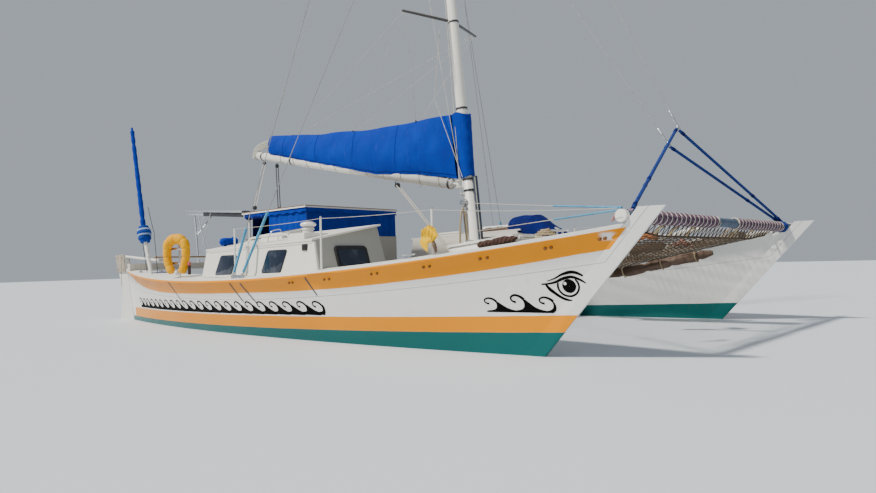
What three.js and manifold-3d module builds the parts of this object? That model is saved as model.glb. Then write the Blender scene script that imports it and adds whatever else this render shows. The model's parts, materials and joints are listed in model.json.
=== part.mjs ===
// A plywood double-canoe cruising catamaran, 12.2 m long, afloat.
// Millimetres. +X towards the bows, +Y to port, +Z up. The origin lies on the waterline,
// amidships, halfway between the two hulls.
import * as THREE from "three";
import { mergeVertices } from "three/addons/utils/BufferGeometryUtils.js";
import Module from "manifold-3d";

const wasm = await Module();
wasm.setup();

// Driving dimensions
const HALF_SPACING = 2449; // from the centreline to each hull's own middle plane
const GAP = 0.3; // between pieces that rest on each other
const LID_GAP = 5; // between a hinged lid and its coaming
const RUNNING = 0.5; // between a pin and what turns on it
const BORE_SIDES = 16;
const HALF_DECK = 730; // a hull's half width at the gunwale
const RUBRAIL = 30; // how far the rubbing strake stands proud
const DECK_CROWN = 70;

const STEM_X = 5330; // the stem's front edge at the waterline
const STEM_RAKE = 0.915; // forward run of the stem for each unit up
const STEM_DEPTH = 235; // fore-and-aft depth of the stem board
const STEM_TOP = 1465;
const STERN_X = -4600; // the stern post's aft face at the waterline
const STERN_RAKE = -0.317;
const FOOT = -520; // height of the keel where it meets the stem and the stern post
const KEEL_ROCKER = 230; // how much lower the keel is amidships

const SHEER_LOW = 820;
const SHEER_LOW_X = -900;
const SHEER_FORE = 9.65e-6;
const SHEER_AFT = 13.1e-6;

const MAST_RAKE = -0.09;
const MAST_X = 2360; // the mast's axis at MAST_REF_Z
const MAST_REF_Z = 1500;
const MAST_RADIUS = 90;
const MAST_TOP = 12300;
const HOUNDS = 8700;
const PIN_OFFSET = 230; // from the mast's axis to the gooseneck pin
const GOOSENECK_Z = 2290;

const DECK_TOP = 910; // the centre deck
const DECK_THICK = 40;
const BEAM_DEPTH = 220;

const COLOUR = {
  white: [0xf1efe8, 0.35, 0],
  offWhite: [0xe6e2d6, 0.45, 0],
  orange: [0xf59a14, 0.4, 0],
  grey: [0xa7a69d, 0.6, 0],
  weathered: [0x8c8478, 0.85, 0],
  timber: [0xa88f68, 0.75, 0],
  blue: [0x0b3fb0, 0.85, 0],
  rope: [0x2b54b8, 0.9, 0],
  alloy: [0xd6d7d6, 0.35, 0.6],
  steel: [0x9aa0a4, 0.3, 0.9],
  dark: [0x20242a, 0.4, 0.1],
  net: [0x6d5638, 0.95, 0],
  yellow: [0xf5b90c, 0.8, 0],
};

const boat = new THREE.Group();

function add(name, geometry, colour, placed = {}) {
  const [color, roughness, metalness] = COLOUR[colour];
  const material = new THREE.MeshStandardMaterial({ color, roughness, metalness });
  const mesh = new THREE.Mesh(geometry, material);
  mesh.name = name;
  if (placed.y) mesh.position.y = placed.y;
  if (placed.mirror) mesh.scale.y = -1;
  boat.add(mesh);
  return mesh;
}

// Boolean joins and cuts
function solid(geometry) {
  const bare = geometry.clone();
  for (const name of Object.keys(bare.attributes)) if (name !== "position") bare.deleteAttribute(name);
  const merged = mergeVertices(bare, 1e-3);
  return new wasm.Manifold(
    new wasm.Mesh({
      numProp: 3,
      vertProperties: new Float32Array(merged.attributes.position.array),
      triVerts: new Uint32Array(merged.index.array),
    }),
  );
}

function geometryOf(shape) {
  const mesh = shape.getMesh();
  const places = new Float32Array(mesh.numVert * 3);
  for (let i = 0; i < mesh.numVert; i++)
    places.set(mesh.vertProperties.subarray(i * mesh.numProp, i * mesh.numProp + 3), i * 3);
  const geometry = new THREE.BufferGeometry();
  geometry.setAttribute("position", new THREE.BufferAttribute(places, 3));
  geometry.setIndex(new THREE.BufferAttribute(mesh.triVerts, 1));
  return geometry;
}

const joined = (...geometries) => geometries.map(solid).reduce((all, piece) => all.add(piece));
const shifted = (shape, x, y, z) => shape.translate([x, y, z]);

// The largest piece that a cut leaves
function largest(shape) {
  return shape.decompose().sort((a, b) => b.volume() - a.volume())[0];
}

// Simple solids
function box(x0, x1, y0, y1, z0, z1) {
  const g = new THREE.BoxGeometry(x1 - x0, y1 - y0, z1 - z0);
  return g.translate((x0 + x1) / 2, (y0 + y1) / 2, (z0 + z1) / 2);
}

// A round rod from a to b, with its own radius at each end
function rod(a, b, radius, sides = 12, endRadius = radius) {
  const from = new THREE.Vector3(...a);
  const along = new THREE.Vector3(...b).sub(from);
  const g = new THREE.CylinderGeometry(endRadius, radius, along.length(), sides);
  g.translate(0, along.length() / 2, 0);
  g.applyQuaternion(new THREE.Quaternion().setFromUnitVectors(new THREE.Vector3(0, 1, 0), along.normalize()));
  return g.translate(from.x, from.y, from.z);
}

// A closed surface through rings that have the same number of points.
// The first and last rings are flat and are filled in.
function loft(rings, capPlane = (p) => new THREE.Vector2(p[1], p[2])) {
  const n = rings[0].length;
  const places = rings.flat(2);
  const faces = [];
  for (let i = 0; i + 1 < rings.length; i++)
    for (let j = 0; j < n; j++) {
      const a = i * n + j;
      const b = i * n + ((j + 1) % n);
      faces.push(a, b, b + n, a, b + n, a + n);
    }
  const cap = (ring, first, turned) => {
    const flat = ring.map(capPlane);
    const clockwise = THREE.ShapeUtils.isClockWise(flat);
    for (const [p, q, r] of THREE.ShapeUtils.triangulateShape(flat, []))
      faces.push(first + p, first + (turned !== clockwise ? r : q), first + (turned !== clockwise ? q : r));
  };
  cap(rings[0], 0, true);
  cap(rings.at(-1), (rings.length - 1) * n, false);
  const g = new THREE.BufferGeometry();
  g.setAttribute("position", new THREE.BufferAttribute(new Float32Array(places), 3));
  g.setIndex(faces);
  if (solid(g).volume() < 0) {
    for (let i = 0; i < faces.length; i += 3) [faces[i + 1], faces[i + 2]] = [faces[i + 2], faces[i + 1]];
    g.setIndex(faces);
  }
  return g;
}

// A flat panel: four corners in order round its face, and its thickness as a vector
function panel(corners, thickness) {
  const back = corners.map((c) => c.map((v, k) => v + thickness[k]));
  const normal = new THREE.Vector3(...thickness).normalize();
  const across = new THREE.Vector3(...corners[1]).sub(new THREE.Vector3(...corners[0])).normalize();
  const up = normal.clone().cross(across);
  const plane = (p) => {
    const spot = new THREE.Vector3(...p);
    return new THREE.Vector2(across.dot(spot), up.dot(spot));
  };
  return loft([corners, back], plane);
}

// Lines of the hull
const stemX = (z) => STEM_X + STEM_RAKE * z;
const bowEndX = (z) => stemX(z) - STEM_DEPTH;
const sternEndX = (z) => STERN_X + STERN_RAKE * z;
const sheer = (x) => SHEER_LOW + (x > SHEER_LOW_X ? SHEER_FORE : SHEER_AFT) * (x - SHEER_LOW_X) ** 2;
const seam = (x) => 520 + 9.6e-6 * (x + 700) ** 2;
const bowHalf = (z) => 28 + (47 * (z - FOOT)) / (STEM_TOP - FOOT);
const SLIMMEST_STERN = 45;
const FULLEST = 0.47; // how far along from the stern the hull is widest

function fullness(u, power) {
  const v = u < FULLEST ? (FULLEST - u) / FULLEST : (u - FULLEST) / (1 - FULLEST);
  return 1 - v ** power;
}

// Where a level line meets the raked stem or stern
function endOf(line, height) {
  let x = line(0);
  for (let k = 0; k < 30; k++) x = line(height(x));
  return x;
}

const keelAt = (x) => {
  const mid = (sternEndX(FOOT) + bowEndX(FOOT)) / 2;
  const half = (bowEndX(FOOT) - sternEndX(FOOT)) / 2;
  return FOOT - KEEL_ROCKER * (1 - ((x - mid) / half) ** 2);
};

// Level lines from the keel up: half width, fullness power, height, extra width at every station
const LEVELS = [
  { half: 30, power: 2, height: keelAt, proud: 0 },
  { half: 285, power: 1.8, height: (x) => 0.45 * keelAt(x), proud: 0 },
  { half: 480, power: 2, height: () => 0, proud: 0 },
  { half: 650, power: 2.2, height: seam, proud: 0 },
  { half: HALF_DECK, power: 2.4, height: (x) => sheer(x) - 48, proud: 0 },
  { half: HALF_DECK, power: 2.4, height: (x) => sheer(x) - 42, proud: RUBRAIL },
  { half: HALF_DECK, power: 2.4, height: (x) => sheer(x) - 6, proud: RUBRAIL },
  { half: HALF_DECK, power: 2.4, height: sheer, proud: 0 },
];

function halfWidth(level, u, z) {
  const end = (1 - u) * SLIMMEST_STERN + u * bowHalf(z);
  const slim = Math.min(end, level.half);
  return slim + (level.half - slim) * fullness(u, level.power) + level.proud;
}

const gunwale = LEVELS[7];
function halfDeckAt(x) {
  const from = endOf(sternEndX, sheer);
  const to = endOf(bowEndX, sheer);
  const u = Math.min(1, Math.max(0, (x - from) / (to - from)));
  return halfWidth(gunwale, u, sheer(x));
}
const crownAt = (x) => (DECK_CROWN * halfDeckAt(x)) / HALF_DECK;
const deckTopAt = (x) => sheer(x) + crownAt(x);

function hullBody() {
  const stations = 16;
  const rings = [];
  for (let i = 0; i <= stations; i++) {
    const u = (1 - Math.cos((Math.PI * i) / stations)) / 2;
    const side = LEVELS.map((level) => {
      const from = endOf(sternEndX, level.height);
      const to = endOf(bowEndX, level.height);
      const x = from + (to - from) * u;
      const z = level.height(x);
      return [x, halfWidth(level, u, z), z];
    });
    const [x, half, z] = side.at(-1);
    const crown = (DECK_CROWN * half) / HALF_DECK;
    side.push([x, half / 2, z + crown * 0.75]);
    const port = side.map(([px, py, pz]) => [px, py, pz]);
    const starboard = side.map(([px, py, pz]) => [px, -py, pz]).reverse();
    rings.push([...port, [x, 0, z + crown], ...starboard]);
  }
  return solid(loft(rings));
}

// A raked frame: its origin on the waterline, its own Z along a raked axis in the XZ plane
function rakedMatrix(x, rake) {
  const angle = Math.atan(rake);
  return new THREE.Matrix4().makeRotationY(angle).setPosition(x, 0, 0);
}

// Rudder hinge line
const HINGE_BACK = 34; // from the stern post's face to the hinge line, along X
const HINGE_X = STERN_X - HINGE_BACK;
const RUDDER_FRAME = rakedMatrix(HINGE_X, STERN_RAKE);
const RUDDER_INVERSE = RUDDER_FRAME.clone().invert();
const toRudder = (x, z) => {
  const p = new THREE.Vector3(x, 0, z).applyMatrix4(RUDDER_INVERSE);
  return [p.x, p.z];
};
const inRudderFrame = (g) => g.applyMatrix4(RUDDER_FRAME);
const POST_LUGS = [-380, 250, 880]; // heights along the hinge line
const LUG = 44;
const RUDDER_PIN = 9;

function ring(outer, inner, z0, z1, sides = BORE_SIDES) {
  const profile = [
    [inner, z0],
    [outer, z0],
    [outer, z1],
    [inner, z1],
    [inner, z0],
  ].map(([r, z]) => new THREE.Vector2(r, z));
  return new THREE.LatheGeometry(profile, sides).rotateX(Math.PI / 2);
}

// Foredeck hatch on each hull
const FORE_HATCH = { x0: 4260, x1: 5140, half: 250, rim: 26, top: 34, depth: 330 };

// A fore-and-aft plank shape in the XZ plane, given as [x, z] corners, centred on y
function board(corners, y0, y1) {
  const shape = new THREE.Shape(corners.map(([x, z]) => new THREE.Vector2(x, z)));
  const g = new THREE.ExtrudeGeometry(shape, { depth: y1 - y0, bevelEnabled: false });
  return g.rotateX(Math.PI / 2).translate(0, y1, 0);
}

// The radius of a bore's corners, so that its flats clear a pin of the radius given
const boreFor = (pin) => (pin + RUNNING) / Math.cos(Math.PI / BORE_SIDES);

// Hinge at a lid's front edge: a fixed pin between two ears, and the knuckle on the lid.
// Its own frame has Y along the pin and the lid towards -X.
const HINGE = { ahead: 14, up: 6, pin: 6, knuckle: 12, width: 28, apart: 300 };
function hingeFixed(reach) {
  const { pin, width } = HINGE;
  const inner = width / 2 + 6;
  const outer = inner + 8;
  let shape = solid(rod([0, -outer, 0], [0, outer, 0], pin, 12));
  for (const [y0, y1] of [
    [-outer, -inner],
    [inner, outer],
  ]) {
    shape = shape.add(solid(box(-7, 8, y0, y1, -30, 8)));
    shape = shape.add(solid(box(-reach, 8, y0, y1, -30, -11)));
  }
  return shape;
}
function hingeMoving() {
  const { pin, knuckle, width, ahead, up } = HINGE;
  const eye = solid(rod([0, -width / 2, 0], [0, width / 2, 0], knuckle, 14));
  const leaf = solid(box(-ahead - 8, -4, -width / 2, width / 2, -up + 1, 10));
  const bore = solid(rod([0, -width, 0], [0, width, 0], boreFor(pin), BORE_SIDES));
  return eye.add(leaf).subtract(bore);
}
const hingePlaces = [-HINGE.apart / 2, HINGE.apart / 2];

const hatchTopAt = (x) => deckTopAt(x) + FORE_HATCH.top;

const LID_OVER = 14; // how far the lid reaches past its coaming
const hatchSlope = (hatchTopAt(FORE_HATCH.x1) - hatchTopAt(FORE_HATCH.x0)) / (FORE_HATCH.x1 - FORE_HATCH.x0);
const foreLidFootAt = (x) => hatchTopAt(FORE_HATCH.x1) + LID_GAP + hatchSlope * (x - FORE_HATCH.x1);
const FORE_HINGE = {
  x: FORE_HATCH.x1 + LID_OVER + HINGE.ahead,
  z: foreLidFootAt(FORE_HATCH.x1 + LID_OVER) + HINGE.up,
};

function hull() {
  const { x0, x1, half, rim, depth } = FORE_HATCH;
  const raised = (a, b, halfY, drop) =>
    solid(
      board(
        [
          [a, deckTopAt(a) - drop],
          [b, deckTopAt(b) - drop],
          [b, hatchTopAt(b)],
          [a, hatchTopAt(a)],
        ],
        -halfY,
        halfY,
      ),
    );
  const coaming = raised(x0, x1, half, 120);
  const locker = raised(x0 + rim, x1 - rim, half - rim, depth).translate([0, 0, 5]);
  const lockerTop = raised(x0 + rim, x1 - rim, half - rim, 20).translate([0, 0, 60]);
  const lugs = POST_LUGS.map((z) =>
    solid(inRudderFrame(box(-12, HINGE_BACK + 40, -14, 14, z - LUG / 2, z + LUG / 2))),
  );
  const pin = solid(inRudderFrame(rod([0, 0, POST_LUGS[0] - 40], [0, 0, POST_LUGS[2] + 60], RUDDER_PIN, 12)));
  const hinges = hingePlaces.map((y) => hingeFixed(34).translate([FORE_HINGE.x, y, FORE_HINGE.z]));
  const body = hullBody().add(coaming).subtract(locker).subtract(lockerTop).add(hinges[0]).add(hinges[1]);
  return lugs.reduce((all, lug) => all.add(lug), body).add(pin);
}

const HULL = hull();
const hullAt = (side) => (side < 0 ? HULL : HULL.mirror([0, 1, 0])).translate([0, side * HALF_SPACING, 0]);
const SIDES = [
  { name: "starboard", sign: -1 },
  { name: "port", sign: 1 },
];

// Stem board, rising above the sheer as the stem head
function stemBoard() {
  const station = (z) => [
    [bowEndX(z) + GAP * 1.5, bowHalf(z), z],
    [stemX(z), 14, z],
    [stemX(z), -14, z],
    [bowEndX(z) + GAP * 1.5, -bowHalf(z), z],
  ];
  const rows = [station(FOOT), station(0), station(950), station(STEM_TOP)];
  return loft(rows, (p) => new THREE.Vector2(p[0], p[1]));
}

// Each hull is built in two lengths that meet at the bulkhead ahead of the cabin
const BULKHEAD_X = 2240;
const aftOfBulkhead = solid(box(-8000, BULKHEAD_X - GAP / 2, -1000, 1000, -1000, 2000));
const foreOfBulkhead = solid(box(BULKHEAD_X + GAP / 2, 8000, -1000, 1000, -1000, 2000));

for (const { name, sign } of SIDES) {
  const placed = { y: sign * HALF_SPACING, mirror: sign > 0 };
  add("hull_aft_" + name, geometryOf(HULL.intersect(aftOfBulkhead)), "white", placed);
  add("hull_fore_" + name, geometryOf(HULL.intersect(foreOfBulkhead)), "white", placed);
  add("stem_" + name, stemBoard(), "white", { y: sign * HALF_SPACING });
}

// Cross beams between the hulls, under the centre deck: name, middle x, width
const CROSS_BEAMS = [
  { name: "beam_mast", x: 2400, width: 240 },
  { name: "beam_middle", x: -200, width: 150 },
  { name: "beam_aft", x: -3020, width: 150 },
];
const BEAM_TOP = DECK_TOP - DECK_THICK - GAP;

// Fore hatch lid, just above its coaming
function foreHatchLid() {
  const { x0, x1, half } = FORE_HATCH;
  const [a, b] = [x0 - LID_OVER, x1 + LID_OVER];
  const plate = board(
    [
      [a, foreLidFootAt(a)],
      [b, foreLidFootAt(b)],
      [b, foreLidFootAt(b) + 30],
      [a, foreLidFootAt(a) + 24],
    ],
    -half - LID_OVER,
    half + LID_OVER,
  );
  const knuckles = hingePlaces.map((y) => hingeMoving().translate([FORE_HINGE.x, y, FORE_HINGE.z]));
  return geometryOf(solid(plate).add(knuckles[0]).add(knuckles[1]));
}
for (const { name, sign } of SIDES)
  add("fore_hatch_" + name, foreHatchLid(), "offWhite", { y: sign * HALF_SPACING });

// Cabin on each hull, drawn for the starboard hull and mirrored to port
const CABIN = {
  aft: -890,
  front: 2200,
  aftTop: -760,
  frontTop: 2010,
  outboard: -2960,
  outboardTop: -2905,
  inboard: -1735,
  wall: 24,
};
const ROOF_SLOPE = 0.183; // rise of the roof from its outboard edge, for each unit inboard
const roofZ = (x, y) => 1275 + 0.0196 * (x + 790) + ROOF_SLOPE * (y + 2930);
const ROOF_THICK = 26;
const CABIN_HATCH = { x0: -100, x1: 480, y0: -2350, y1: -1850, rim: 24, top: 58 };

const DORADE = { x0: 1440, x1: 1800, y0: -2880, y1: -2480, z: 1450 };

function cabinRoof() {
  const { aftTop, frontTop, outboardTop, inboard } = CABIN;
  const lip = 26;
  const corner = (x, y) => [x, y, roofZ(x, y)];
  const plate = solid(
    panel(
      [
        corner(aftTop - lip, outboardTop - lip),
        corner(frontTop + lip, outboardTop - lip),
        corner(frontTop + lip, inboard + lip),
        corner(aftTop - lip, inboard + lip),
      ],
      [0, 0, ROOF_THICK],
    ),
  );
  const { x0, x1, y0, y1, rim, top } = CABIN_HATCH;
  const hatchPlate = (inset, low, high) => {
    const at = (x, y) => [x, y, roofZ(x, y) + low];
    return solid(
      panel(
        [
          at(x0 + inset, y0 + inset),
          at(x1 - inset, y0 + inset),
          at(x1 - inset, y1 - inset),
          at(x0 + inset, y1 - inset),
        ],
        [0, 0, high - low],
      ),
    );
  };
  const dorade = solid(box(DORADE.x0, DORADE.x1, DORADE.y0, DORADE.y1, 1300, DORADE.z));
  const outline = [corner(-900, -3100), corner(2300, -3100), corner(2300, -1500), corner(-900, -1500)];
  const lowered = outline.map(([x, y, z]) => [x, y, z - 300]);
  const under = solid(panel(lowered, [0, 0, 300]));
  const [vx, vy] = [(DORADE.x0 + DORADE.x1) / 2, (DORADE.y0 + DORADE.y1) / 2];
  const vent = joined(
    rod([vx, vy, DORADE.z - 10], [vx, vy, DORADE.z + 70], 52, 16),
    rod([vx, vy, DORADE.z + 55], [vx, vy, DORADE.z + 100], 92, 16, 60),
  );
  return plate
    .add(hatchPlate(0, 4, ROOF_THICK + top))
    .subtract(hatchPlate(rim, -40, ROOF_THICK + top + 40))
    .add(dorade.subtract(under))
    .add(vent)
    .add(onCabinHinge(hingeFixed(34), hingePlaces[0]))
    .add(onCabinHinge(hingeFixed(34), hingePlaces[1]));
}

const cabinLidFootAt = (x, y) => roofZ(x, y) + ROOF_THICK + CABIN_HATCH.top + LID_GAP;
function onCabinHinge(shape, along) {
  const x = CABIN_HATCH.x1 + LID_OVER + HINGE.ahead;
  const y = (CABIN_HATCH.y0 + CABIN_HATCH.y1) / 2;
  const z = cabinLidFootAt(x, y) + HINGE.up;
  const tilt = (Math.atan(ROOF_SLOPE) * 180) / Math.PI;
  return shape.translate([0, along, 0]).rotate([tilt, 0, 0]).translate([x, y, z]);
}

function cabinHatchLid() {
  const { x0, x1, y0, y1 } = CABIN_HATCH;
  const over = LID_OVER;
  const at = (x, y) => [x, y, cabinLidFootAt(x, y)];
  const plate = panel(
    [at(x0 - over, y0 - over), at(x1 + over, y0 - over), at(x1 + over, y1 + over), at(x0 - over, y1 + over)],
    [0, 0, 30],
  );
  const knuckles = hingePlaces.map((along) => onCabinHinge(hingeMoving(), along));
  return geometryOf(solid(plate).add(knuckles[0]).add(knuckles[1]));
}

const ROOF = cabinRoof();
const LOW = 780; // below the deck, so that a wall's foot follows the deck when it is cut
const HIGH = 1700;
const starboardHull = hullAt(-1);
const deckBelow = starboardHull
  .add(shifted(starboardHull, 0, 0, GAP))
  .add(shifted(starboardHull, 0, GAP, GAP));
const roofAbove = (() => {
  const corner = (x, y) => [x, y, roofZ(x, y) - GAP];
  const under = [corner(-1200, -3200), corner(2500, -3200), corner(2500, -1500), corner(-1200, -1500)];
  return solid(panel(under, [0, 0, 700]));
})();

function trimmedWall(wall) {
  return largest(wall.subtract(roofAbove).subtract(deckBelow));
}

const WALL_FOOT = 830;
const WALL_TOP = 1400;
const leaning = (foot, top, z) => foot + ((top - foot) * (z - WALL_FOOT)) / (WALL_TOP - WALL_FOOT);

// Ends lean, so their X runs from the foot at the deck to the top. A cut is wider than its wall.
function endWall(footX, topX, thickness, wider = 0) {
  const { outboard, outboardTop, inboard } = CABIN;
  const xAt = (z) => leaning(footX, topX, z);
  const yAt = (z) => leaning(outboard, outboardTop, z) - wider;
  return solid(
    panel(
      [
        [xAt(LOW), yAt(LOW), LOW],
        [xAt(LOW), inboard + CABIN.wall + wider, LOW],
        [xAt(HIGH), inboard + CABIN.wall + wider, HIGH],
        [xAt(HIGH), yAt(HIGH), HIGH],
      ],
      [thickness, 0, 0],
    ),
  );
}

// Slanted side windows: foot from, foot to, top from, top to, sill height, head height
const SIDE_WINDOWS = [
  { x0: 860, x1: 1310, top0: 1000, top1: 1450, sill: 925, head: 1215 },
  { x0: -450, x1: 0, top0: -310, top1: 140, sill: 905, head: 1175 },
];
const FRONT_WINDOW = { y0: -2570, y1: -2050, sill: 975, head: 1235 };
const INBOARD_WINDOW = { x0: 1150, x1: 1850, sill: 1340, head: 1450 };

const beamNotches = CROSS_BEAMS.map(({ x, width }) =>
  solid(box(x - width / 2 - GAP, x + width / 2 + GAP, -1800, -1600, BEAM_TOP - BEAM_DEPTH, BEAM_TOP + GAP)),
).reduce((a, b) => a.add(b));

function cabinWalls() {
  const { aft, front, aftTop, frontTop, outboard, outboardTop, inboard, wall } = CABIN;
  const frontWall = endWall(front, frontTop, -wall);
  const aftWall = endWall(aft, aftTop, wall);
  const reach = 300;
  const ahead = endWall(front + reach, frontTop + reach, -reach - wall - GAP, 80);
  const behind = endWall(aft - reach, aftTop - reach, reach + wall + GAP, 80);
  const outboardWall = solid(
    panel(
      [
        [aft - 60, leaning(outboard, outboardTop, LOW), LOW],
        [front + 60, leaning(outboard, outboardTop, LOW), LOW],
        [front + 60, leaning(outboard, outboardTop, HIGH), HIGH],
        [aft - 60, leaning(outboard, outboardTop, HIGH), HIGH],
      ],
      [0, wall, 0],
    ),
  );
  const inboardWall = solid(
    panel(
      [
        [aft - 60, inboard, 796],
        [front + 60, inboard, 884],
        [front + 60, inboard, HIGH],
        [aft - 60, inboard, HIGH],
      ],
      [0, wall, 0],
    ),
  );
  const sideHoles = SIDE_WINDOWS.map(({ x0, x1, top0, top1, sill, head }) =>
    solid(
      board(
        [
          [x0, sill],
          [x1, sill],
          [top1, head],
          [top0, head],
        ],
        -3000,
        -2850,
      ),
    ),
  ).reduce((a, b) => a.add(b));
  const { y0, y1, sill, head } = FRONT_WINDOW;
  const frontHole = solid(box(1900, 2400, y0, y1, sill, head));
  const w = INBOARD_WINDOW;
  const inboardHole = solid(box(w.x0, w.x1, inboard - 50, inboard + 80, w.sill, w.head));
  return {
    front: trimmedWall(frontWall.subtract(frontHole)),
    aft: trimmedWall(aftWall),
    outboard: trimmedWall(outboardWall.subtract(ahead).subtract(behind).subtract(sideHoles)),
    inboard: trimmedWall(
      inboardWall.subtract(ahead).subtract(behind).subtract(inboardHole).subtract(beamNotches),
    ),
  };
}

const WALLS = cabinWalls();
const WALL_PAINT = { front: "grey", aft: "white", outboard: "white", inboard: "white" };
for (const { name, sign } of SIDES) {
  const mirror = sign > 0;
  for (const wall of Object.keys(WALLS))
    add("cabin_" + wall + "_" + name, geometryOf(WALLS[wall]), WALL_PAINT[wall], { mirror });
  add("cabin_roof_" + name, geometryOf(ROOF), "white", { mirror });
  add("cabin_hatch_" + name, cabinHatchLid(), "offWhite", { mirror });
}

// Rudder on each stern post: blade and timber head in one, with two lugs round the hinge pin
const RUDDER = {
  lead: -26, // leading edge behind the hinge line
  thick: 56,
  headThick: 90,
  headFoot: 960,
  top: 1340,
  // trailing edge, from the top down: x, z
  trail: [
    [-5510, 1340],
    [-5400, 960],
    [-5200, 510],
    [-5320, 50],
    [-5290, -560],
  ],
};
const RUDDER_LUGS = [-300, 330]; // heights along the hinge line

function rudderOutline(fromZ) {
  const onLead = (z) => {
    const rakeAngle = Math.atan(-STERN_RAKE);
    return [RUDDER.lead, (z - RUDDER.lead * Math.sin(rakeAngle)) / Math.cos(rakeAngle)];
  };
  const trail = RUDDER.trail.filter(([, z]) => z >= fromZ);
  const low = trail.at(-1)[1];
  return [...trail.map(([x, z]) => toRudder(x, z)), onLead(low), onLead(RUDDER.top)];
}

function rudder() {
  const blade = solid(board(rudderOutline(-1000), -RUDDER.thick / 2, RUDDER.thick / 2));
  const head = solid(board(rudderOutline(RUDDER.headFoot), -RUDDER.headThick / 2, RUDDER.headThick / 2));
  const lugs = RUDDER_LUGS.map((z) => {
    const block = solid(box(RUDDER.lead - 40, 0, -21, 21, z - LUG / 2, z + LUG / 2));
    const eye = solid(rod([0, 0, z - LUG / 2], [0, 0, z + LUG / 2], 21, 16));
    const bore = solid(rod([0, 0, z - LUG], [0, 0, z + LUG], boreFor(RUDDER_PIN), BORE_SIDES));
    return block.add(eye).subtract(bore);
  });
  return lugs.reduce((all, lug) => all.add(lug), blade.add(head));
}

// Tiller: its line in the XZ plane, and the pivot pin that carries the cross bar
const TILLER = { x0: -5100, z0: 1298, x1: -3400, z1: 1170, radius: 25 };
const TIE = { x: -3690, pinRadius: 7, eye: 28, thick: 24, lift: 60, bar: 16 };
const tillerZ = (x) => TILLER.z0 + ((TILLER.z1 - TILLER.z0) * (x - TILLER.x0)) / (TILLER.x1 - TILLER.x0);
const [TIE_X, TIE_Z] = toRudder(TIE.x, tillerZ(TIE.x));

const RUDDER_SOLID = rudder();
function tiller() {
  const [ax, az] = toRudder(TILLER.x0, TILLER.z0);
  const [bx, bz] = toRudder(TILLER.x1, TILLER.z1);
  const bar = solid(rod([ax, 0, az], [bx, 0, bz], TILLER.radius, 14));
  const behind = solid(box(-2000, RUDDER.lead + GAP, -200, 200, 0, 2500));
  const pin = solid(rod([TIE_X, 0, TIE_Z], [TIE_X, 0, TIE_Z + TIE.lift + 26], TIE.pinRadius, 12));
  return bar.subtract(behind).add(pin);
}

function tillerBar() {
  const low = TIE_Z + TIE.lift - TIE.thick / 2;
  const eyes = SIDES.map(({ sign }) =>
    solid(
      ring(TIE.eye, boreFor(TIE.pinRadius), low, low + TIE.thick).translate(TIE_X, sign * HALF_SPACING, 0),
    ),
  );
  const end = HALF_SPACING - TIE.eye + 8;
  const bar = solid(rod([TIE_X, -end, TIE_Z + TIE.lift], [TIE_X, end, TIE_Z + TIE.lift], TIE.bar, 12));
  return eyes[0].add(eyes[1]).add(bar);
}

for (const { name, sign } of SIDES) {
  add("rudder_" + name, inRudderFrame(geometryOf(RUDDER_SOLID)), "white", { y: sign * HALF_SPACING });
  add("tiller_" + name, inRudderFrame(geometryOf(tiller())), "white", { y: sign * HALF_SPACING });
}
add("tiller_bar", inRudderFrame(geometryOf(tillerBar())), "timber");

const hullsApart = shifted(hullAt(-1), 0, GAP, 0).add(shifted(hullAt(1), 0, -GAP, 0));
for (const { name, x, width } of CROSS_BEAMS) {
  const whole = solid(box(x - width / 2, x + width / 2, -2200, 2200, BEAM_TOP - BEAM_DEPTH, BEAM_TOP));
  add(name, geometryOf(largest(whole.subtract(hullsApart))), "timber");
}

// Stern beam, across the two sterns
const STERN_BEAM = { x0: -4610, x1: -4490, end: 2620, height: 125 };
const sternBeamFoot = deckTopAt(STERN_BEAM.x0);
const hulls = hullAt(-1).add(hullAt(1));
const hullsRaised = hulls.add(shifted(hulls, 0, 0, GAP));
const STERN_BEAM_SOLID = solid(
  box(
    STERN_BEAM.x0,
    STERN_BEAM.x1,
    -STERN_BEAM.end,
    STERN_BEAM.end,
    sternBeamFoot - 8,
    sternBeamFoot + STERN_BEAM.height,
  ),
).subtract(hullsRaised);
add("beam_stern", geometryOf(largest(STERN_BEAM_SOLID)), "timber");

// Front beam: a pole behind the stem heads, served with rope over most of its length
const FRONT_BEAM = { x: 6280, z: 1390, end: 2540, portEnd: 2700, radius: 55, served: 72, servedTo: 2200 };
function frontBeam() {
  const { x, z, end, portEnd, radius, served, servedTo } = FRONT_BEAM;
  const pole = solid(rod([x, -end, z], [x, portEnd, z], radius, 16));
  const serving = solid(rod([x, -servedTo, z], [x, servedTo, z], served, 16));
  const saddles = SIDES.map(({ sign }) =>
    solid(box(x - 62, x + 18, sign * HALF_SPACING - 50, sign * HALF_SPACING + 50, 1300, z - radius + 12)),
  );
  return saddles
    .reduce((all, saddle) => all.add(saddle), pole.add(serving))
    .subtract(hullsRaised);
}
add("beam_front", geometryOf(largest(frontBeam())), "rope");

// Centre deck, foredeck net and the boarding plank that lies on it
const PLATFORM = { x0: -3150, x1: 2560, half: 1670 };
add(
  "deck_platform",
  box(PLATFORM.x0, PLATFORM.x1, -PLATFORM.half, PLATFORM.half, DECK_TOP - DECK_THICK, DECK_TOP),
  "weathered",
);

const NET_THICK = 16;
const NET_DROP = 22; // below the sheer
const netEdgeAt = (x) => Math.max(sheer(x) - NET_DROP, DECK_TOP);

// The net sags between the hulls, and the plank's bed in it is straight from x 4000 forward
const BED = { x: 4000, z: 812, slope: 0.19 };
const bedAt = (x) => BED.z + BED.slope * (x - BED.x);
const NET_STATIONS = [
  { x: PLATFORM.x1 + GAP, bed: netEdgeAt(PLATFORM.x1) },
  { x: 3300, bed: 860 },
  ...[4000, 4700, 5400, 6190].map((x) => ({ x, bed: bedAt(x) })),
];
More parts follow.
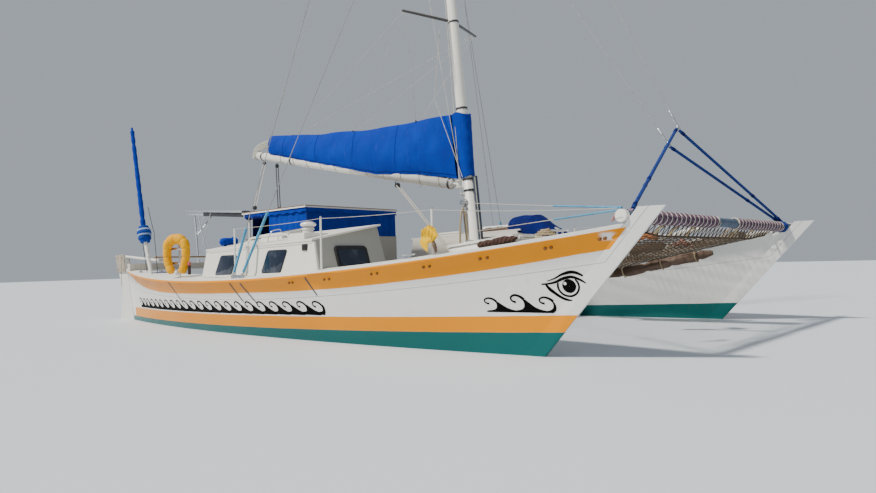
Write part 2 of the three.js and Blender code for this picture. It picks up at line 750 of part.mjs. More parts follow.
// Across the net, y and the share of the sag there
const NET_SECTION = [
  [-HALF_SPACING, 0],
  [-2000, 0.1],
  [-1700, 0.5],
  [-1420, 1],
  [1420, 1],
  [1700, 0.5],
  [2000, 0.1],
  [HALF_SPACING, 0],
];
function foredeckNet() {
  const rings = NET_STATIONS.map(({ x, bed }) => {
    const top = NET_SECTION.map(([y, share]) => [x, y, netEdgeAt(x) + share * (bed - netEdgeAt(x))]);
    const under = top.map(([, y, z]) => [x, y, z - NET_THICK]);
    return [...under, ...top.reverse()];
  });
  const clearance = 5;
  const body = hullBody();
  const inward = HALF_SPACING - clearance;
  const kept = shifted(body, 0, -inward, 0).add(shifted(body, 0, inward, 0));
  return largest(solid(loft(rings)).subtract(kept));
}
const NET = foredeckNet();
add("foredeck_net", geometryOf(NET), "net");

const PLANK = { x0: 4010, x1: 6080, y0: 1080, y1: 1380, height: 110, sunk: 5 };
const plankFootAt = (x) => bedAt(x) - PLANK.sunk;
const PLANK_WHOLE = board(
  [
    [PLANK.x0, plankFootAt(PLANK.x0)],
    [PLANK.x1, plankFootAt(PLANK.x1)],
    [PLANK.x1, plankFootAt(PLANK.x1) + PLANK.height],
    [PLANK.x0, plankFootAt(PLANK.x0) + PLANK.height],
  ],
  PLANK.y0,
  PLANK.y1,
);
add("boarding_plank", geometryOf(largest(solid(PLANK_WHOLE).subtract(shifted(NET, 0, 0, GAP)))), "weathered");

// Deck shelter: low walls, a flat hardtop on four posts, and blue curtains
const POD = { x0: -2640, x1: -600, half: 1100, wall: 24, wallTop: 1550 };
const HARDTOP = { x0: -2720, x1: -600, half: 1130, under: 2055, top: 2095, post: 20 };
const POD_FLOOR = DECK_TOP + GAP;
function podWalls() {
  const { x0, x1, half, wall, wallTop } = POD;
  const outside = solid(box(x0, x1, -half, half, POD_FLOOR, wallTop));
  const inside = solid(box(x0 - 50, x1 - wall, -half + wall, half - wall, POD_FLOOR - 50, wallTop + 50));
  return outside.subtract(inside);
}
add("pod_walls", geometryOf(podWalls()), "grey");
function hardtop() {
  const { x0, x1, half, under, top, post } = HARDTOP;
  let shape = solid(box(x0, x1, -half, half, under, top));
  for (const x of [POD.x0 + 50, POD.x1 - 60])
    for (const y of [-1040, 1040])
      shape = shape.add(solid(rod([x, y, POD_FLOOR], [x, y, under + 10], post, 12)));
  return shape;
}
add("hardtop", geometryOf(hardtop()), "white");

const CURTAIN = { foot: POD.wallTop + GAP, head: HARDTOP.under - GAP, thick: 14, starboardFrom: -1820 };
const curtainLine = POD.half - 12;
add(
  "curtain_front",
  box(POD.x1 - 20, POD.x1 - 20 + CURTAIN.thick, -curtainLine, curtainLine, CURTAIN.foot, CURTAIN.head),
  "blue",
);
const CURTAIN_RUNS = [
  { name: "curtain_starboard", x0: CURTAIN.starboardFrom, y: -curtainLine },
  { name: "curtain_port", x0: POD.x0, y: curtainLine - CURTAIN.thick },
];
for (const { name, x0, y } of CURTAIN_RUNS)
  add(name, box(x0, POD.x1 - 20 - 6, y, y + CURTAIN.thick, CURTAIN.foot, CURTAIN.head), "blue");

// Solar panel behind the hardtop, on two legs from the stern beam
const SOLAR = { x0: -5150, x1: HARDTOP.x0 - GAP, half: 1100, foreZ: 2142, aftZ: 2330, thick: 38, rail: 30 };
const solarZ = (x) => SOLAR.foreZ + ((SOLAR.aftZ - SOLAR.foreZ) * (SOLAR.x1 - x)) / (SOLAR.x1 - SOLAR.x0);
const solarPanel = board(
  [
    [SOLAR.x0, SOLAR.aftZ - SOLAR.thick],
    [SOLAR.x1, SOLAR.foreZ - SOLAR.thick],
    [SOLAR.x1, SOLAR.foreZ],
    [SOLAR.x0, SOLAR.aftZ],
  ],
  -SOLAR.half,
  SOLAR.half,
);
const railFrom = SOLAR.x1 - SOLAR.rail;
const solarRail = box(railFrom, SOLAR.x1, -SOLAR.half, SOLAR.half, HARDTOP.under, SOLAR.foreZ - 10);
add("solar_panel", geometryOf(joined(solarPanel, solarRail)), "dark");
const SOLAR_LEG = { x: -4550, y: 1120, lean: -360, inward: 90, radius: 20, braceFrom: 1750, brace: 420 };
const underSolar = solid(
  board(
    [
      [SOLAR.x0 - 100, solarZ(SOLAR.x0 - 100) - SOLAR.thick - GAP],
      [SOLAR.x1 + 100, solarZ(SOLAR.x1 + 100) - SOLAR.thick - GAP],
      [SOLAR.x1 + 100, 2800],
      [SOLAR.x0 - 100, 2800],
    ],
    -1300,
    1300,
  ),
);
for (const { name, sign } of SIDES) {
  const { x, y, lean, inward, radius, braceFrom, brace } = SOLAR_LEG;
  const foot = sternBeamFoot + STERN_BEAM.height + GAP;
  const over = 2500;
  const at = (z, forward = 0) => {
    const share = (z - foot) / (over - foot);
    return [x + lean * share + forward, sign * (y - inward * share), z];
  };
  const leg = joined(
    rod(at(foot - 60), at(over), radius, 12),
    rod(at(braceFrom), at(over, brace - lean), radius * 0.7, 10),
  );
  const beamTop = solid(box(x - 200, x + 200, -y * 2, y * 2, foot - 200, foot));
  add("solar_leg_" + name, geometryOf(leg.subtract(underSolar).subtract(beamTop)), "steel");
}

// Mast, drawn upright in its own raked frame
const mastX = (z) => MAST_X + MAST_RAKE * (z - MAST_REF_Z);
const MAST_FRAME = rakedMatrix(mastX(0), MAST_RAKE);
const inMastFrame = (g) => g.applyMatrix4(MAST_FRAME);
const upMast = (z) => z / Math.cos(Math.atan(MAST_RAKE)); // height along the mast at the axis
const SPREADER = { z: 4960, tipY: 900, sweep: -270, rise: 60, radius: 20 };
const GOOSE = upMast(GOOSENECK_Z);
const BOOM_PIN = 10;
const GOOSE_LUG = { gap: 45, thick: 18, half: 36 };

function mast() {
  const foot = DECK_TOP + 70;
  const taperFrom = upMast(3700);
  const tube = joined(
    rod([0, 0, foot], [0, 0, taperFrom], MAST_RADIUS, 16),
    rod([0, 0, taperFrom], [0, 0, upMast(MAST_TOP)], MAST_RADIUS, 16, 58),
  );
  const spreaders = SIDES.map(({ sign }) =>
    solid(
      rod(
        [0, 0, upMast(SPREADER.z)],
        [SPREADER.sweep, sign * SPREADER.tipY, upMast(SPREADER.z) + SPREADER.rise],
        SPREADER.radius * 1.3,
        10,
        SPREADER.radius,
      ),
    ),
  );
  const { gap, thick, half } = GOOSE_LUG;
  const lugs = [gap, -gap - thick].map((z) =>
    solid(box(-PIN_OFFSET - 26, -MAST_RADIUS + 20, -half, half, GOOSE + z, GOOSE + z + thick)),
  );
  const pad = solid(box(-MAST_RADIUS - 22, -MAST_RADIUS + 20, -half, half, GOOSE - 110, GOOSE + 110));
  const reach = gap + thick;
  const pin = solid(rod([-PIN_OFFSET, 0, GOOSE - reach], [-PIN_OFFSET, 0, GOOSE + reach], BOOM_PIN, 12));
  const footX = mastX(DECK_TOP);
  const step = solid(box(footX - 170, footX + 140, -130, 130, DECK_TOP + GAP, DECK_TOP + 90));
  let shape = tube.add(pad).add(pin);
  for (const piece of [...spreaders, ...lugs]) shape = shape.add(piece);
  return shape.transform(MAST_FRAME.toArray()).add(step);
}
const MAST = mast();
add("mast", geometryOf(MAST), "alloy");

// Blue cover round the mast above the gooseneck
const COLLAR = { z0: 2420, z1: 3450, outer: 124 };
const collar = ring(COLLAR.outer, MAST_RADIUS + GAP, upMast(COLLAR.z0), upMast(COLLAR.z1));
add("mast_cover", inMastFrame(collar), "blue");

// Boom, from an eye on the gooseneck pin, and the sail under its cover on top of it
const PIN_X = mastX(GOOSENECK_Z) - PIN_OFFSET * Math.cos(Math.atan(MAST_RAKE));
const PIN_Z = GOOSENECK_Z + PIN_OFFSET * Math.sin(Math.atan(MAST_RAKE));
const BOOM = { endX: -3860, endZ: 3500, radius: 92, start: 120 };
const boomSlope = (BOOM.endZ - PIN_Z) / (BOOM.endX - PIN_X);
const boomZ = (x) => PIN_Z + boomSlope * (x - PIN_X);

function boom() {
  const startX = PIN_X - BOOM.start;
  const tube = solid(rod([startX, 0, boomZ(startX)], [BOOM.endX, 0, BOOM.endZ], BOOM.radius, 16));
  const eye = ring(32, boreFor(BOOM_PIN), -36, 36).translate(-PIN_OFFSET, 0, GOOSE);
  const tongue = solid(rod([PIN_X - 22, 0, boomZ(PIN_X - 22)], [startX - 60, 0, boomZ(startX - 60)], 26, 10));
  return solid(inMastFrame(eye)).add(tongue).add(tube);
}
const BOOM_SOLID = boom();
add("boom", geometryOf(BOOM_SOLID), "alloy");

// Sections of the covered sail: x at the foot, height of the top, half widths at the foot, bulge and top
const COVER = [
  { x: PIN_X, top: 3440, foot: 60, bulge: 84, head: 26 },
  { x: 1300, top: 3480, foot: 76, bulge: 128, head: 26 },
  { x: 100, top: 3545, foot: 76, bulge: 140, head: 24 },
  { x: -1300, top: 3650, foot: 70, bulge: 130, head: 22 },
  { x: -3330, top: 3940, foot: 60, bulge: 100, head: 30 },
];
function sailCover() {
  const seat = BOOM.radius * 0.72;
  const rings = COVER.map(({ x, top, foot, bulge, head }, i) => {
    const low = boomZ(x) + (i === 0 ? 105 : seat);
    const xAt = (z) => (i === 0 ? PIN_X + MAST_RAKE * (z - PIN_Z) : x);
    const at = (y, share) => {
      const z = low + (top - low) * share;
      return [xAt(z), y, z];
    };
    return [
      at(-foot, 0),
      at(foot, 0),
      at(bulge, 0.3),
      at(bulge * 0.62, 0.7),
      at(head, 1),
      at(-head, 1),
      at(-bulge * 0.62, 0.7),
      at(-bulge, 0.3),
    ];
  });
  return solid(loft(rings)).subtract(BOOM_SOLID.translate([0, 0, GAP]));
}
add("sail_cover", geometryOf(largest(sailCover())), "blue");

// Standing rigging
const FORESTAYS = [
  { name: "forestay_inner", node: [5640, 0, 2430], mastZ: HOUNDS },
  { name: "forestay_outer", node: [5770, 0, 2620], mastZ: 12150 },
];
const STAY_RADIUS = 6;
const mastAhead = MAST.translate([GAP, 0, 0]);
const shackle = ([x, y, z]) => box(x - 24, x + 24, y - 16, y + 16, z - 30, z + 30);
for (const { name, node, mastZ } of FORESTAYS) {
  const wire = rod(node, [mastX(mastZ), 0, mastZ], STAY_RADIUS, 8);
  add(name, geometryOf(largest(joined(wire, shackle(node)).subtract(mastAhead))), "steel");
}

// Rope bridles from the front beam up to the forestays
const BRIDLE = { y: 2285, radius: 15, band: 42, outer: 84 };
function bridle(sign) {
  const { y, radius, band, outer } = BRIDLE;
  const { x, z } = FRONT_BEAM;
  const wrap = ring(outer, FRONT_BEAM.radius + GAP, -band, band)
    .rotateX(Math.PI / 2)
    .translate(x, sign * y, z);
  let shape = solid(wrap);
  for (const { node } of FORESTAYS) {
    const seat = [x - 20, sign * y, z + 70];
    shape = shape.add(solid(rod(seat, [node[0], 0, node[2]], radius, 8)));
  }
  const farSide = [0, -sign * 80].sort((a, b) => a - b);
  for (const { node } of FORESTAYS) {
    const [nodeX, , nodeZ] = node;
    const slack = solid(shackle(node)).translate([0, sign * GAP, 0]);
    const far = solid(box(nodeX - 60, nodeX + 60, ...farSide, nodeZ - 60, nodeZ + 60));
    shape = shape.subtract(slack).subtract(far);
  }
  return largest(shape);
}
for (const { name, sign } of SIDES) add("bridle_" + name, geometryOf(bridle(sign)), "rope");

// Shrouds, two a side from one chainplate: x at the deck, height on the mast
const SHROUDS = [
  { x: 640, mastZ: HOUNDS },
  { x: 400, mastZ: 12150 },
];
const CHAINPLATE = { x0: 330, x1: 710, thick: 18, rise: 60 };
function shrouds(sign) {
  const y = sign * (HALF_SPACING + halfDeckAt(520) - 40);
  const foot = sheer(400) + 30;
  const { x0, x1, thick, rise } = CHAINPLATE;
  let shape = solid(box(x0, x1, y - thick / 2, y + thick / 2, sheer(300) - 20, foot + rise));
  for (const { x, mastZ } of SHROUDS)
    shape = shape.add(solid(rod([x, y, foot], [mastX(mastZ), 0, mastZ], STAY_RADIUS, 8)));
  return largest(shape.subtract(MAST.translate([0, sign * GAP, 0])).subtract(hullsRaised));
}
for (const { name, sign } of SIDES) add("shrouds_" + name, geometryOf(shrouds(sign)), "steel");

// Guard-rail stanchions along each outboard gunwale
const STANCHIONS = [
  { x: 362, top: 1584 },
  { x: 2370, top: 1611 },
  { x: 4155, top: 1599 },
];
const STANCHION = { radius: 13, plate: 34, inset: 95 };
for (const { name, sign } of SIDES)
  STANCHIONS.forEach(({ x, top }, i) => {
    const y = sign * (HALF_SPACING + halfDeckAt(x) - STANCHION.inset);
    const foot = sheer(x);
    const post = joined(
      rod([x, y, foot + 10], [x, y, top], STANCHION.radius, 10),
      rod([x, y, foot - 14], [x, y, foot + 22], STANCHION.plate, 12),
    );
    add("stanchion_" + name + "_" + (i + 1), geometryOf(largest(post.subtract(hullsRaised))), "steel");
  });

// Horseshoe lifebuoy on its post, on the starboard quarter
const BUOY = { x: -1750, y: -2960, z: 1235, height: 740, width: 500, tube: 58, turn: -66 };
function lifebuoy() {
  const { height, width, tube } = BUOY;
  const bend = width / 2 - tube;
  const rise = height / 2 - tube - bend;
  const v = (y, z) => new THREE.Vector3(0, y, z);
  const leg = (side) => [
    v(side * bend * 0.62, tube - height / 2),
    v(side * bend, -rise * 0.5),
    v(side * bend, rise * 0.4),
  ];
  const steps = 6;
  const points = leg(-1);
  for (let k = 0; k <= steps; k++) {
    const a = Math.PI - (Math.PI * k) / steps;
    points.push(v(bend * Math.cos(a), rise + bend * Math.sin(a)));
  }
  points.push(...leg(1).reverse());
  const sides = 10;
  const out = new THREE.Vector3(1, 0, 0);
  const rings = points.map((p, i) => {
    const ahead = points[Math.min(i + 1, points.length - 1)].clone();
    const along = ahead.sub(points[Math.max(i - 1, 0)]).normalize();
    const wide = along.clone().cross(out).normalize();
    return Array.from({ length: sides }, (_, k) => {
      const a = (2 * Math.PI * k) / sides;
      const q = p.clone();
      q.addScaledVector(out, tube * 0.8 * Math.cos(a));
      q.addScaledVector(wide, tube * Math.sin(a));
      return q.toArray();
    });
  });
  const hoop = loft(rings, (p) => new THREE.Vector2(p[0], p[1]));
  const back = tube * 0.8;
  const postX = -back - 14;
  const post = rod([postX, 0, -height / 2 - 120], [postX, 0, 250], 16, 10);
  const arm = box(postX, 30 - back, -bend - 20, bend + 20, rise - 20, rise + 20);
  return geometryOf(joined(hoop, post, arm))
    .rotateZ((BUOY.turn * Math.PI) / 180)
    .translate(BUOY.x, BUOY.y, BUOY.z);
}
add("lifebuoy", geometryOf(largest(solid(lifebuoy()).subtract(hullsRaised))), "yellow");

// Staff on the starboard quarter: a white post, and a pole in a blue sleeve lashed to it
const STAFF = { x: -3260, y: -2720, foot: 860, kneeX: -3540, knee: 1600, topX: -4060, top: 3810 };
const staff = joined(
  rod([STAFF.x, STAFF.y, STAFF.foot], [STAFF.kneeX, STAFF.y, STAFF.knee], 34, 12),
  rod([STAFF.kneeX + 10, STAFF.y, STAFF.knee - 60], [STAFF.topX, STAFF.y, STAFF.top], 44, 12, 34),
  rod([STAFF.kneeX + 20, STAFF.y, STAFF.knee], [STAFF.kneeX - 35, STAFF.y, STAFF.knee + 190], 88, 12),
);
add("stern_staff", geometryOf(largest(staff.subtract(hullsRaised))), "blue");

export default boat;
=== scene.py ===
# %% [markdown]
# # A double-canoe catamaran, dressed for her photograph
# The frame brings every hull, beam, spar and lid at its real size, in metres: +X runs to
# the bows, +Y to port, and the water lies at z = 0. This lesson adds what a hull-and-spar
# model lacks: paint, rope, canvas, glass and the small gear of a lived-in boat.

import json
from math import copysign, cos, exp, hypot, pi, radians, sin, sqrt

import bpy
from mathutils import Matrix, Vector
from mathutils.bvhtree import BVHTree
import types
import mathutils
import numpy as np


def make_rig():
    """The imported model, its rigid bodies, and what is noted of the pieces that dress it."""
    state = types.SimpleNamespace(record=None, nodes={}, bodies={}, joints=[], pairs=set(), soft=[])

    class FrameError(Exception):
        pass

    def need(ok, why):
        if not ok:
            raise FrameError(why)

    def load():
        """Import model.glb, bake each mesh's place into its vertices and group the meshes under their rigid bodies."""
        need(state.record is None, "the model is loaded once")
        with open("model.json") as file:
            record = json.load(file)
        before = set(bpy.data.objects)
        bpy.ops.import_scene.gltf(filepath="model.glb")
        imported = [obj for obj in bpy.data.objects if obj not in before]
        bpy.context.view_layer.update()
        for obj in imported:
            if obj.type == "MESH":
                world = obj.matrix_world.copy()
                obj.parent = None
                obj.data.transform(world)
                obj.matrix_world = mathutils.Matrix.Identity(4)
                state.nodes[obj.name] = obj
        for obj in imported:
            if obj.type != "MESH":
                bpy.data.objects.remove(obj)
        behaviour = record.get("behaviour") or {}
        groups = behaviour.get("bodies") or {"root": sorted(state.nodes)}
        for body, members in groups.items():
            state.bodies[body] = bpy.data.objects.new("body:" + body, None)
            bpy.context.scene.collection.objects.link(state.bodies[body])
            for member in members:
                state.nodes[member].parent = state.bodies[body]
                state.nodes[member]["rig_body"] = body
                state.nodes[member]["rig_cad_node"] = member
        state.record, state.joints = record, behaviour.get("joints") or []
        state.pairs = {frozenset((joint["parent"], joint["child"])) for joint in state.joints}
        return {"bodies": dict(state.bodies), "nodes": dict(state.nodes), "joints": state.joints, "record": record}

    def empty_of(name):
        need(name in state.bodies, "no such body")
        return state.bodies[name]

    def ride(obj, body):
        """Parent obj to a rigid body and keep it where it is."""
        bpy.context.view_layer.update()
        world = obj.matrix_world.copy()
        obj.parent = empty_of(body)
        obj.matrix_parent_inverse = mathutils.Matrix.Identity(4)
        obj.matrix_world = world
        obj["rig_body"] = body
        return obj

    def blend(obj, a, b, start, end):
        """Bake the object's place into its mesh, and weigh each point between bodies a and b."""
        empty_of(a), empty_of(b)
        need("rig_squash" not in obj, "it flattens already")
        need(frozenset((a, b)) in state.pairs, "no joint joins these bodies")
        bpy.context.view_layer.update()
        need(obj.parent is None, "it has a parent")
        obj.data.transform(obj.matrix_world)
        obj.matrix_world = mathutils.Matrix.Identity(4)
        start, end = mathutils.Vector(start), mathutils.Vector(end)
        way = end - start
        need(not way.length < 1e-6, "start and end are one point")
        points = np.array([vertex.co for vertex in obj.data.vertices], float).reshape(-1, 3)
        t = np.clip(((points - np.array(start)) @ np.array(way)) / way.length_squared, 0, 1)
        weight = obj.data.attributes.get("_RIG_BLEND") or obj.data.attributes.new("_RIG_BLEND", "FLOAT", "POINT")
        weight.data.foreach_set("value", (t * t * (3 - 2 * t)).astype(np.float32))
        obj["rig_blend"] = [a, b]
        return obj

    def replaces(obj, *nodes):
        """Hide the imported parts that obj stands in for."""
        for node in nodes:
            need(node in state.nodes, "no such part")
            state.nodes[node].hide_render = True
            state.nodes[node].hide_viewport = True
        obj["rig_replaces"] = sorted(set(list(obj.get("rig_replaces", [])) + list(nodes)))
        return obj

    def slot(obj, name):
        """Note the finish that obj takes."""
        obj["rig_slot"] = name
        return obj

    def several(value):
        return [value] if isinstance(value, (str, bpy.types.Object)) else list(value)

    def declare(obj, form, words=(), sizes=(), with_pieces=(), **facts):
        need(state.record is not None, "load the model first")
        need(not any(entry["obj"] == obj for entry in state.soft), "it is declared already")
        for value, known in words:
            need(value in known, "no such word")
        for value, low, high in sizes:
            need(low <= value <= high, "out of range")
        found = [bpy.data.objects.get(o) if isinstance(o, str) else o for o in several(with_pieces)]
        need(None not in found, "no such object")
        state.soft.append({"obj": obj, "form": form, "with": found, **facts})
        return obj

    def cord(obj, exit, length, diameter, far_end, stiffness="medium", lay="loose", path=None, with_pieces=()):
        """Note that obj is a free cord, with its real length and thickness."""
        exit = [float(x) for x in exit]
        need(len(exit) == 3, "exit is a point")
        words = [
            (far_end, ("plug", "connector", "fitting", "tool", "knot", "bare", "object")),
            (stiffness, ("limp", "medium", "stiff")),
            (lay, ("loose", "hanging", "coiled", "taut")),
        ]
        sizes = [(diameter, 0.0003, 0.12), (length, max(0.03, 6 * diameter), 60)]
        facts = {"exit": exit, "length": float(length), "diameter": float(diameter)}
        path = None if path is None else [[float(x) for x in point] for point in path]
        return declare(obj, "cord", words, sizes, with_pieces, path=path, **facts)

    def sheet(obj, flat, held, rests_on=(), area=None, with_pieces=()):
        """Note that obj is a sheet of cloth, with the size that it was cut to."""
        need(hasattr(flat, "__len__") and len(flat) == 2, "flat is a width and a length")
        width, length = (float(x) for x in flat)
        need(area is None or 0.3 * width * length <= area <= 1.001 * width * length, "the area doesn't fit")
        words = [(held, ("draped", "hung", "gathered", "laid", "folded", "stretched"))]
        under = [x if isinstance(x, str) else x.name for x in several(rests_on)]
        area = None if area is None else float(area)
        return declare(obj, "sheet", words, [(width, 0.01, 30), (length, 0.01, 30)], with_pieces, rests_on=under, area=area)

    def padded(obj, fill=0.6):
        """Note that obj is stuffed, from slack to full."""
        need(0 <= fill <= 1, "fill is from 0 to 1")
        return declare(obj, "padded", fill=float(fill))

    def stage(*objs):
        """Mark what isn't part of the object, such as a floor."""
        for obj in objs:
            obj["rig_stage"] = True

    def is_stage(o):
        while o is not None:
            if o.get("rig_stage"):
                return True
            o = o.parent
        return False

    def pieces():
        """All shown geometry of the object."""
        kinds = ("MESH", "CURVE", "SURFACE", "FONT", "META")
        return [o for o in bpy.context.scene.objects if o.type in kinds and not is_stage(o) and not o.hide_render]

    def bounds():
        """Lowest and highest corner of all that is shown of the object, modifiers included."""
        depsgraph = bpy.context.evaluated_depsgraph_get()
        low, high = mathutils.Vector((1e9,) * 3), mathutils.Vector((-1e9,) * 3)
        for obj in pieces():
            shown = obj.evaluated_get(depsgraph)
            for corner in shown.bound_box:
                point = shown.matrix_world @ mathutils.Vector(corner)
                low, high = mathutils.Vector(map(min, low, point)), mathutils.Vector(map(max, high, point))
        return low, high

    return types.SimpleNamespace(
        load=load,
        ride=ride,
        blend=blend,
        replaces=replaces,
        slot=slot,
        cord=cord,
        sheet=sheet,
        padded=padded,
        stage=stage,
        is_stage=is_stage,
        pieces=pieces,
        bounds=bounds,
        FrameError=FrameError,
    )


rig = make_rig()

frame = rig.load()
CAD_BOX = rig.bounds()
NODES = frame["nodes"]
UP = Vector((0, 0, 1))
print("nodes in the frame:", len(NODES))

# %% [markdown]
# ## Camera, floor and light
# The camera was found by matching hull lines, stanchions and mast to the photograph, so it
# stands low over the water ahead of the starboard bow. A camera can be aimed with a
# Track To constraint, but a matrix also holds the small roll of a hand-held shot.

# %% Camera
YAW, PITCH, ROLL = radians(133.03), radians(1.39), radians(-1.49)
PHOTO_WIDTH, FOCAL_PIXELS, SENSOR = 876, 669.23, 36.0

forward = Vector((cos(PITCH) * cos(YAW), cos(PITCH) * sin(YAW), sin(PITCH)))
level = forward.cross(UP).normalized()
upright = level.cross(forward)
right = cos(ROLL) * level + sin(ROLL) * upright
above = cos(ROLL) * upright - sin(ROLL) * level
axes = Matrix((right, above, -forward)).transposed().to_4x4()

camera = bpy.data.objects.new("camera", bpy.data.cameras.new("camera"))
bpy.context.collection.objects.link(camera)
camera.matrix_world = Matrix.Translation((9.264, -8.24, 0.997)) @ axes
camera.data.sensor_width = SENSOR
camera.data.lens = FOCAL_PIXELS * SENSOR / PHOTO_WIDTH
camera.data.clip_end = 300
bpy.context.scene.camera = camera
print("lens", round(camera.data.lens, 2), "mm")

# %% [markdown]
# The floor is a plain pale plane at the waterline. One soft sun stands over the camera's
# left shoulder, as in the photograph, and a pale world fills the shadows. A sun lamp's
# angle sets how soft its shadows are.

# %% Floor and light
bpy.ops.object.select_all(action="DESELECT")
bpy.ops.mesh.primitive_plane_add(size=160, location=(0, 0, 0))
floor = bpy.context.object
floor.name = "floor"
floor_finish = bpy.data.materials.new("pale_floor")
floor_finish.use_nodes = True
floor_shader = floor_finish.node_tree.nodes["Principled BSDF"]
floor_shader.inputs["Base Color"].default_value = (0.62, 0.66, 0.7, 1)
floor_shader.inputs["Roughness"].default_value = 0.6
floor.data.materials.append(floor_finish)
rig.stage(floor)

SUN_TRAVEL = Vector((0.24, 0.58, -0.78))
bpy.ops.object.light_add(type="SUN", location=(0, 0, 20))
sun = bpy.context.object
sun.rotation_euler = SUN_TRAVEL.to_track_quat("-Z", "Y").to_euler()
sun.data.energy = 5.2
sun.data.angle = radians(5)
sun.data.color = (1.0, 0.965, 0.9)

world = bpy.data.worlds.new("studio")
world.use_nodes = True
sky_light = world.node_tree.nodes["Background"].inputs
sky_light["Color"].default_value = (0.78, 0.86, 0.97, 1)
sky_light["Strength"].default_value = 0.48
bpy.context.scene.world = world
print("floor at z =", floor.location.z)

# %% [markdown]
# ## The bench
# Operators act on everything that is selected, and loading leaves the frame selected, so
# each step here starts by letting go of everything. These few helpers pick a piece up, open
# its mesh for editing, and finish it with modifiers that are applied.

# %% Letting go and picking up
def let_go():
    if bpy.context.object and bpy.context.object.mode != "OBJECT":
        bpy.ops.object.mode_set(mode="OBJECT")
    bpy.ops.object.select_all(action="DESELECT")


def pick(piece):
    let_go()
    piece.select_set(True)
    bpy.context.view_layer.objects.active = piece


def open_mesh(piece):
    """Edit mode, with the whole mesh selected. let_go() leaves it again."""
    pick(piece)
    bpy.ops.object.mode_set(mode="EDIT")
    bpy.ops.mesh.select_all(action="SELECT")


def named(name):
    """Names the piece that an operator has just added."""
    bpy.context.object.name = name
    return bpy.context.object


def fix_place(piece):
    pick(piece)
    bpy.ops.object.transform_apply(location=True, rotation=True, scale=True)
    return piece


def shape_with(piece, kind, **settings):
    pick(piece)
    modifier = piece.modifiers.new(kind.title(), kind)
    for key, value in settings.items():
        setattr(modifier, key, value)
    bpy.ops.object.modifier_apply(modifier=modifier.name)
    return piece


def soften(piece, edge):
    """Bevels the sharp edges only."""
    shape_with(piece, "BEVEL", width=edge, segments=2, limit_method="ANGLE", angle_limit=radians(50))


def copy_of(piece, name):
    """A copy with a mesh of its own."""
    copy = bpy.data.objects.new(name, piece.data.copy())
    bpy.context.collection.objects.link(copy)
    return copy


def join(name, pieces):
    let_go()
    for piece in pieces:
        piece.select_set(True)
    bpy.context.view_layer.objects.active = pieces[0]
    if len(pieces) > 1:
        bpy.ops.object.join()
    pieces[0].name = name
    return pieces[0]


print("bench ready")

# %% [markdown]
# A block, a rod, a lathe-turned shape and a sheet are the four ways in which most pieces
# start. The sheet is a grid whose points are then laid where the cloth, paint or strip
# goes, and it keeps the grid's UV map, which a weave or a rope's strands can follow.

# %% Starting shapes
def block(name, low, high, edge=0.006, segments=2):
    let_go()
    bpy.ops.mesh.primitive_cube_add(size=1, location=(Vector(low) + Vector(high)) / 2)
    piece = named(name)
    piece.scale = Vector(high) - Vector(low)
    fix_place(piece)
    if edge:
        shape_with(piece, "BEVEL", width=edge, segments=segments)
    return piece


def rod(name, start, end, radius, end_radius=None, sides=20, edge=0.0):
    along = Vector(end) - Vector(start)
    let_go()
    bpy.ops.mesh.primitive_cone_add(
        vertices=sides,
        radius1=radius,
        radius2=radius if end_radius is None else end_radius,
        depth=along.length,
        location=(Vector(start) + Vector(end)) / 2,
        rotation=along.to_track_quat("Z", "Y").to_euler(),
    )
    piece = fix_place(named(name))
    if edge:
        soften(piece, edge)
    return piece


def turned(name, profile, foot, axis=UP, steps=24):
    """A lathe-turned shape from (radius, height) pairs, spun round an axis that starts at foot."""
    let_go()
    bpy.ops.mesh.primitive_plane_add(size=1)
    piece = named(name)
    piece.data.clear_geometry()
    piece.data.from_pydata([(r, 0, h) for r, h in profile], [(i, i + 1) for i in range(len(profile) - 1)], [])
    open_mesh(piece)
    bpy.ops.mesh.spin(steps=steps, angle=2 * pi, center=(0, 0, 0), axis=UP)
    bpy.ops.mesh.select_all(action="SELECT")
    bpy.ops.mesh.remove_doubles(threshold=0.00002)
    bpy.ops.mesh.normals_make_consistent(inside=False)
    let_go()
    piece.rotation_euler = Vector(axis).to_track_quat("Z", "Y").to_euler()
    piece.location = foot
    return fix_place(piece)


def sheet(name, columns, rows, place, thickness=0.0):
    """A grid of faces, each point laid by place(u, v) with u and v from 0 to 1."""
    let_go()
    bpy.ops.mesh.primitive_grid_add(x_subdivisions=columns, y_subdivisions=rows, size=1)
    piece = named(name)
    for vertex in piece.data.vertices:
        vertex.co = place(vertex.co.x + 0.5, vertex.co.y + 0.5)
    if thickness:
        shape_with(piece, "SOLIDIFY", thickness=thickness, offset=0.0)
    return piece


print("shapes: block, rod, turned, sheet")

# %% [markdown]
# A rope is a closed tube along points. A few marks are enough to lay one: a smooth line
# goes through them, and its points are spread evenly before the tube is drawn round it.

# %% Lines and ropes
def line_through(points, count):
    """Points spread evenly along a smooth line through a few given ones."""
    marks = [Vector(p) for p in points]
    smooth = []
    for i in range(len(marks) - 1):
        before, after = marks[max(i - 1, 0)], marks[min(i + 2, len(marks) - 1)]
        a, b = marks[i], marks[i + 1]
        for k in range(12):
            t = k / 12
            bent = 2 * a + (b - before) * t + (2 * before - 5 * a + 4 * b - after) * t**2
            smooth.append((bent + (3 * a - before - 3 * b + after) * t**3) / 2)
    smooth.append(marks[-1])
    reach = [0.0]
    for p, q in zip(smooth, smooth[1:]):
        reach.append(reach[-1] + (q - p).length)
    result = []
    at = 0
    for k in range(count):
        want = reach[-1] * k / (count - 1)
        while at < len(reach) - 2 and reach[at + 1] < want:
            at += 1
        share = (want - reach[at]) / max(reach[at + 1] - reach[at], 1e-9)
        result.append(smooth[at].lerp(smooth[at + 1], share))
    return result


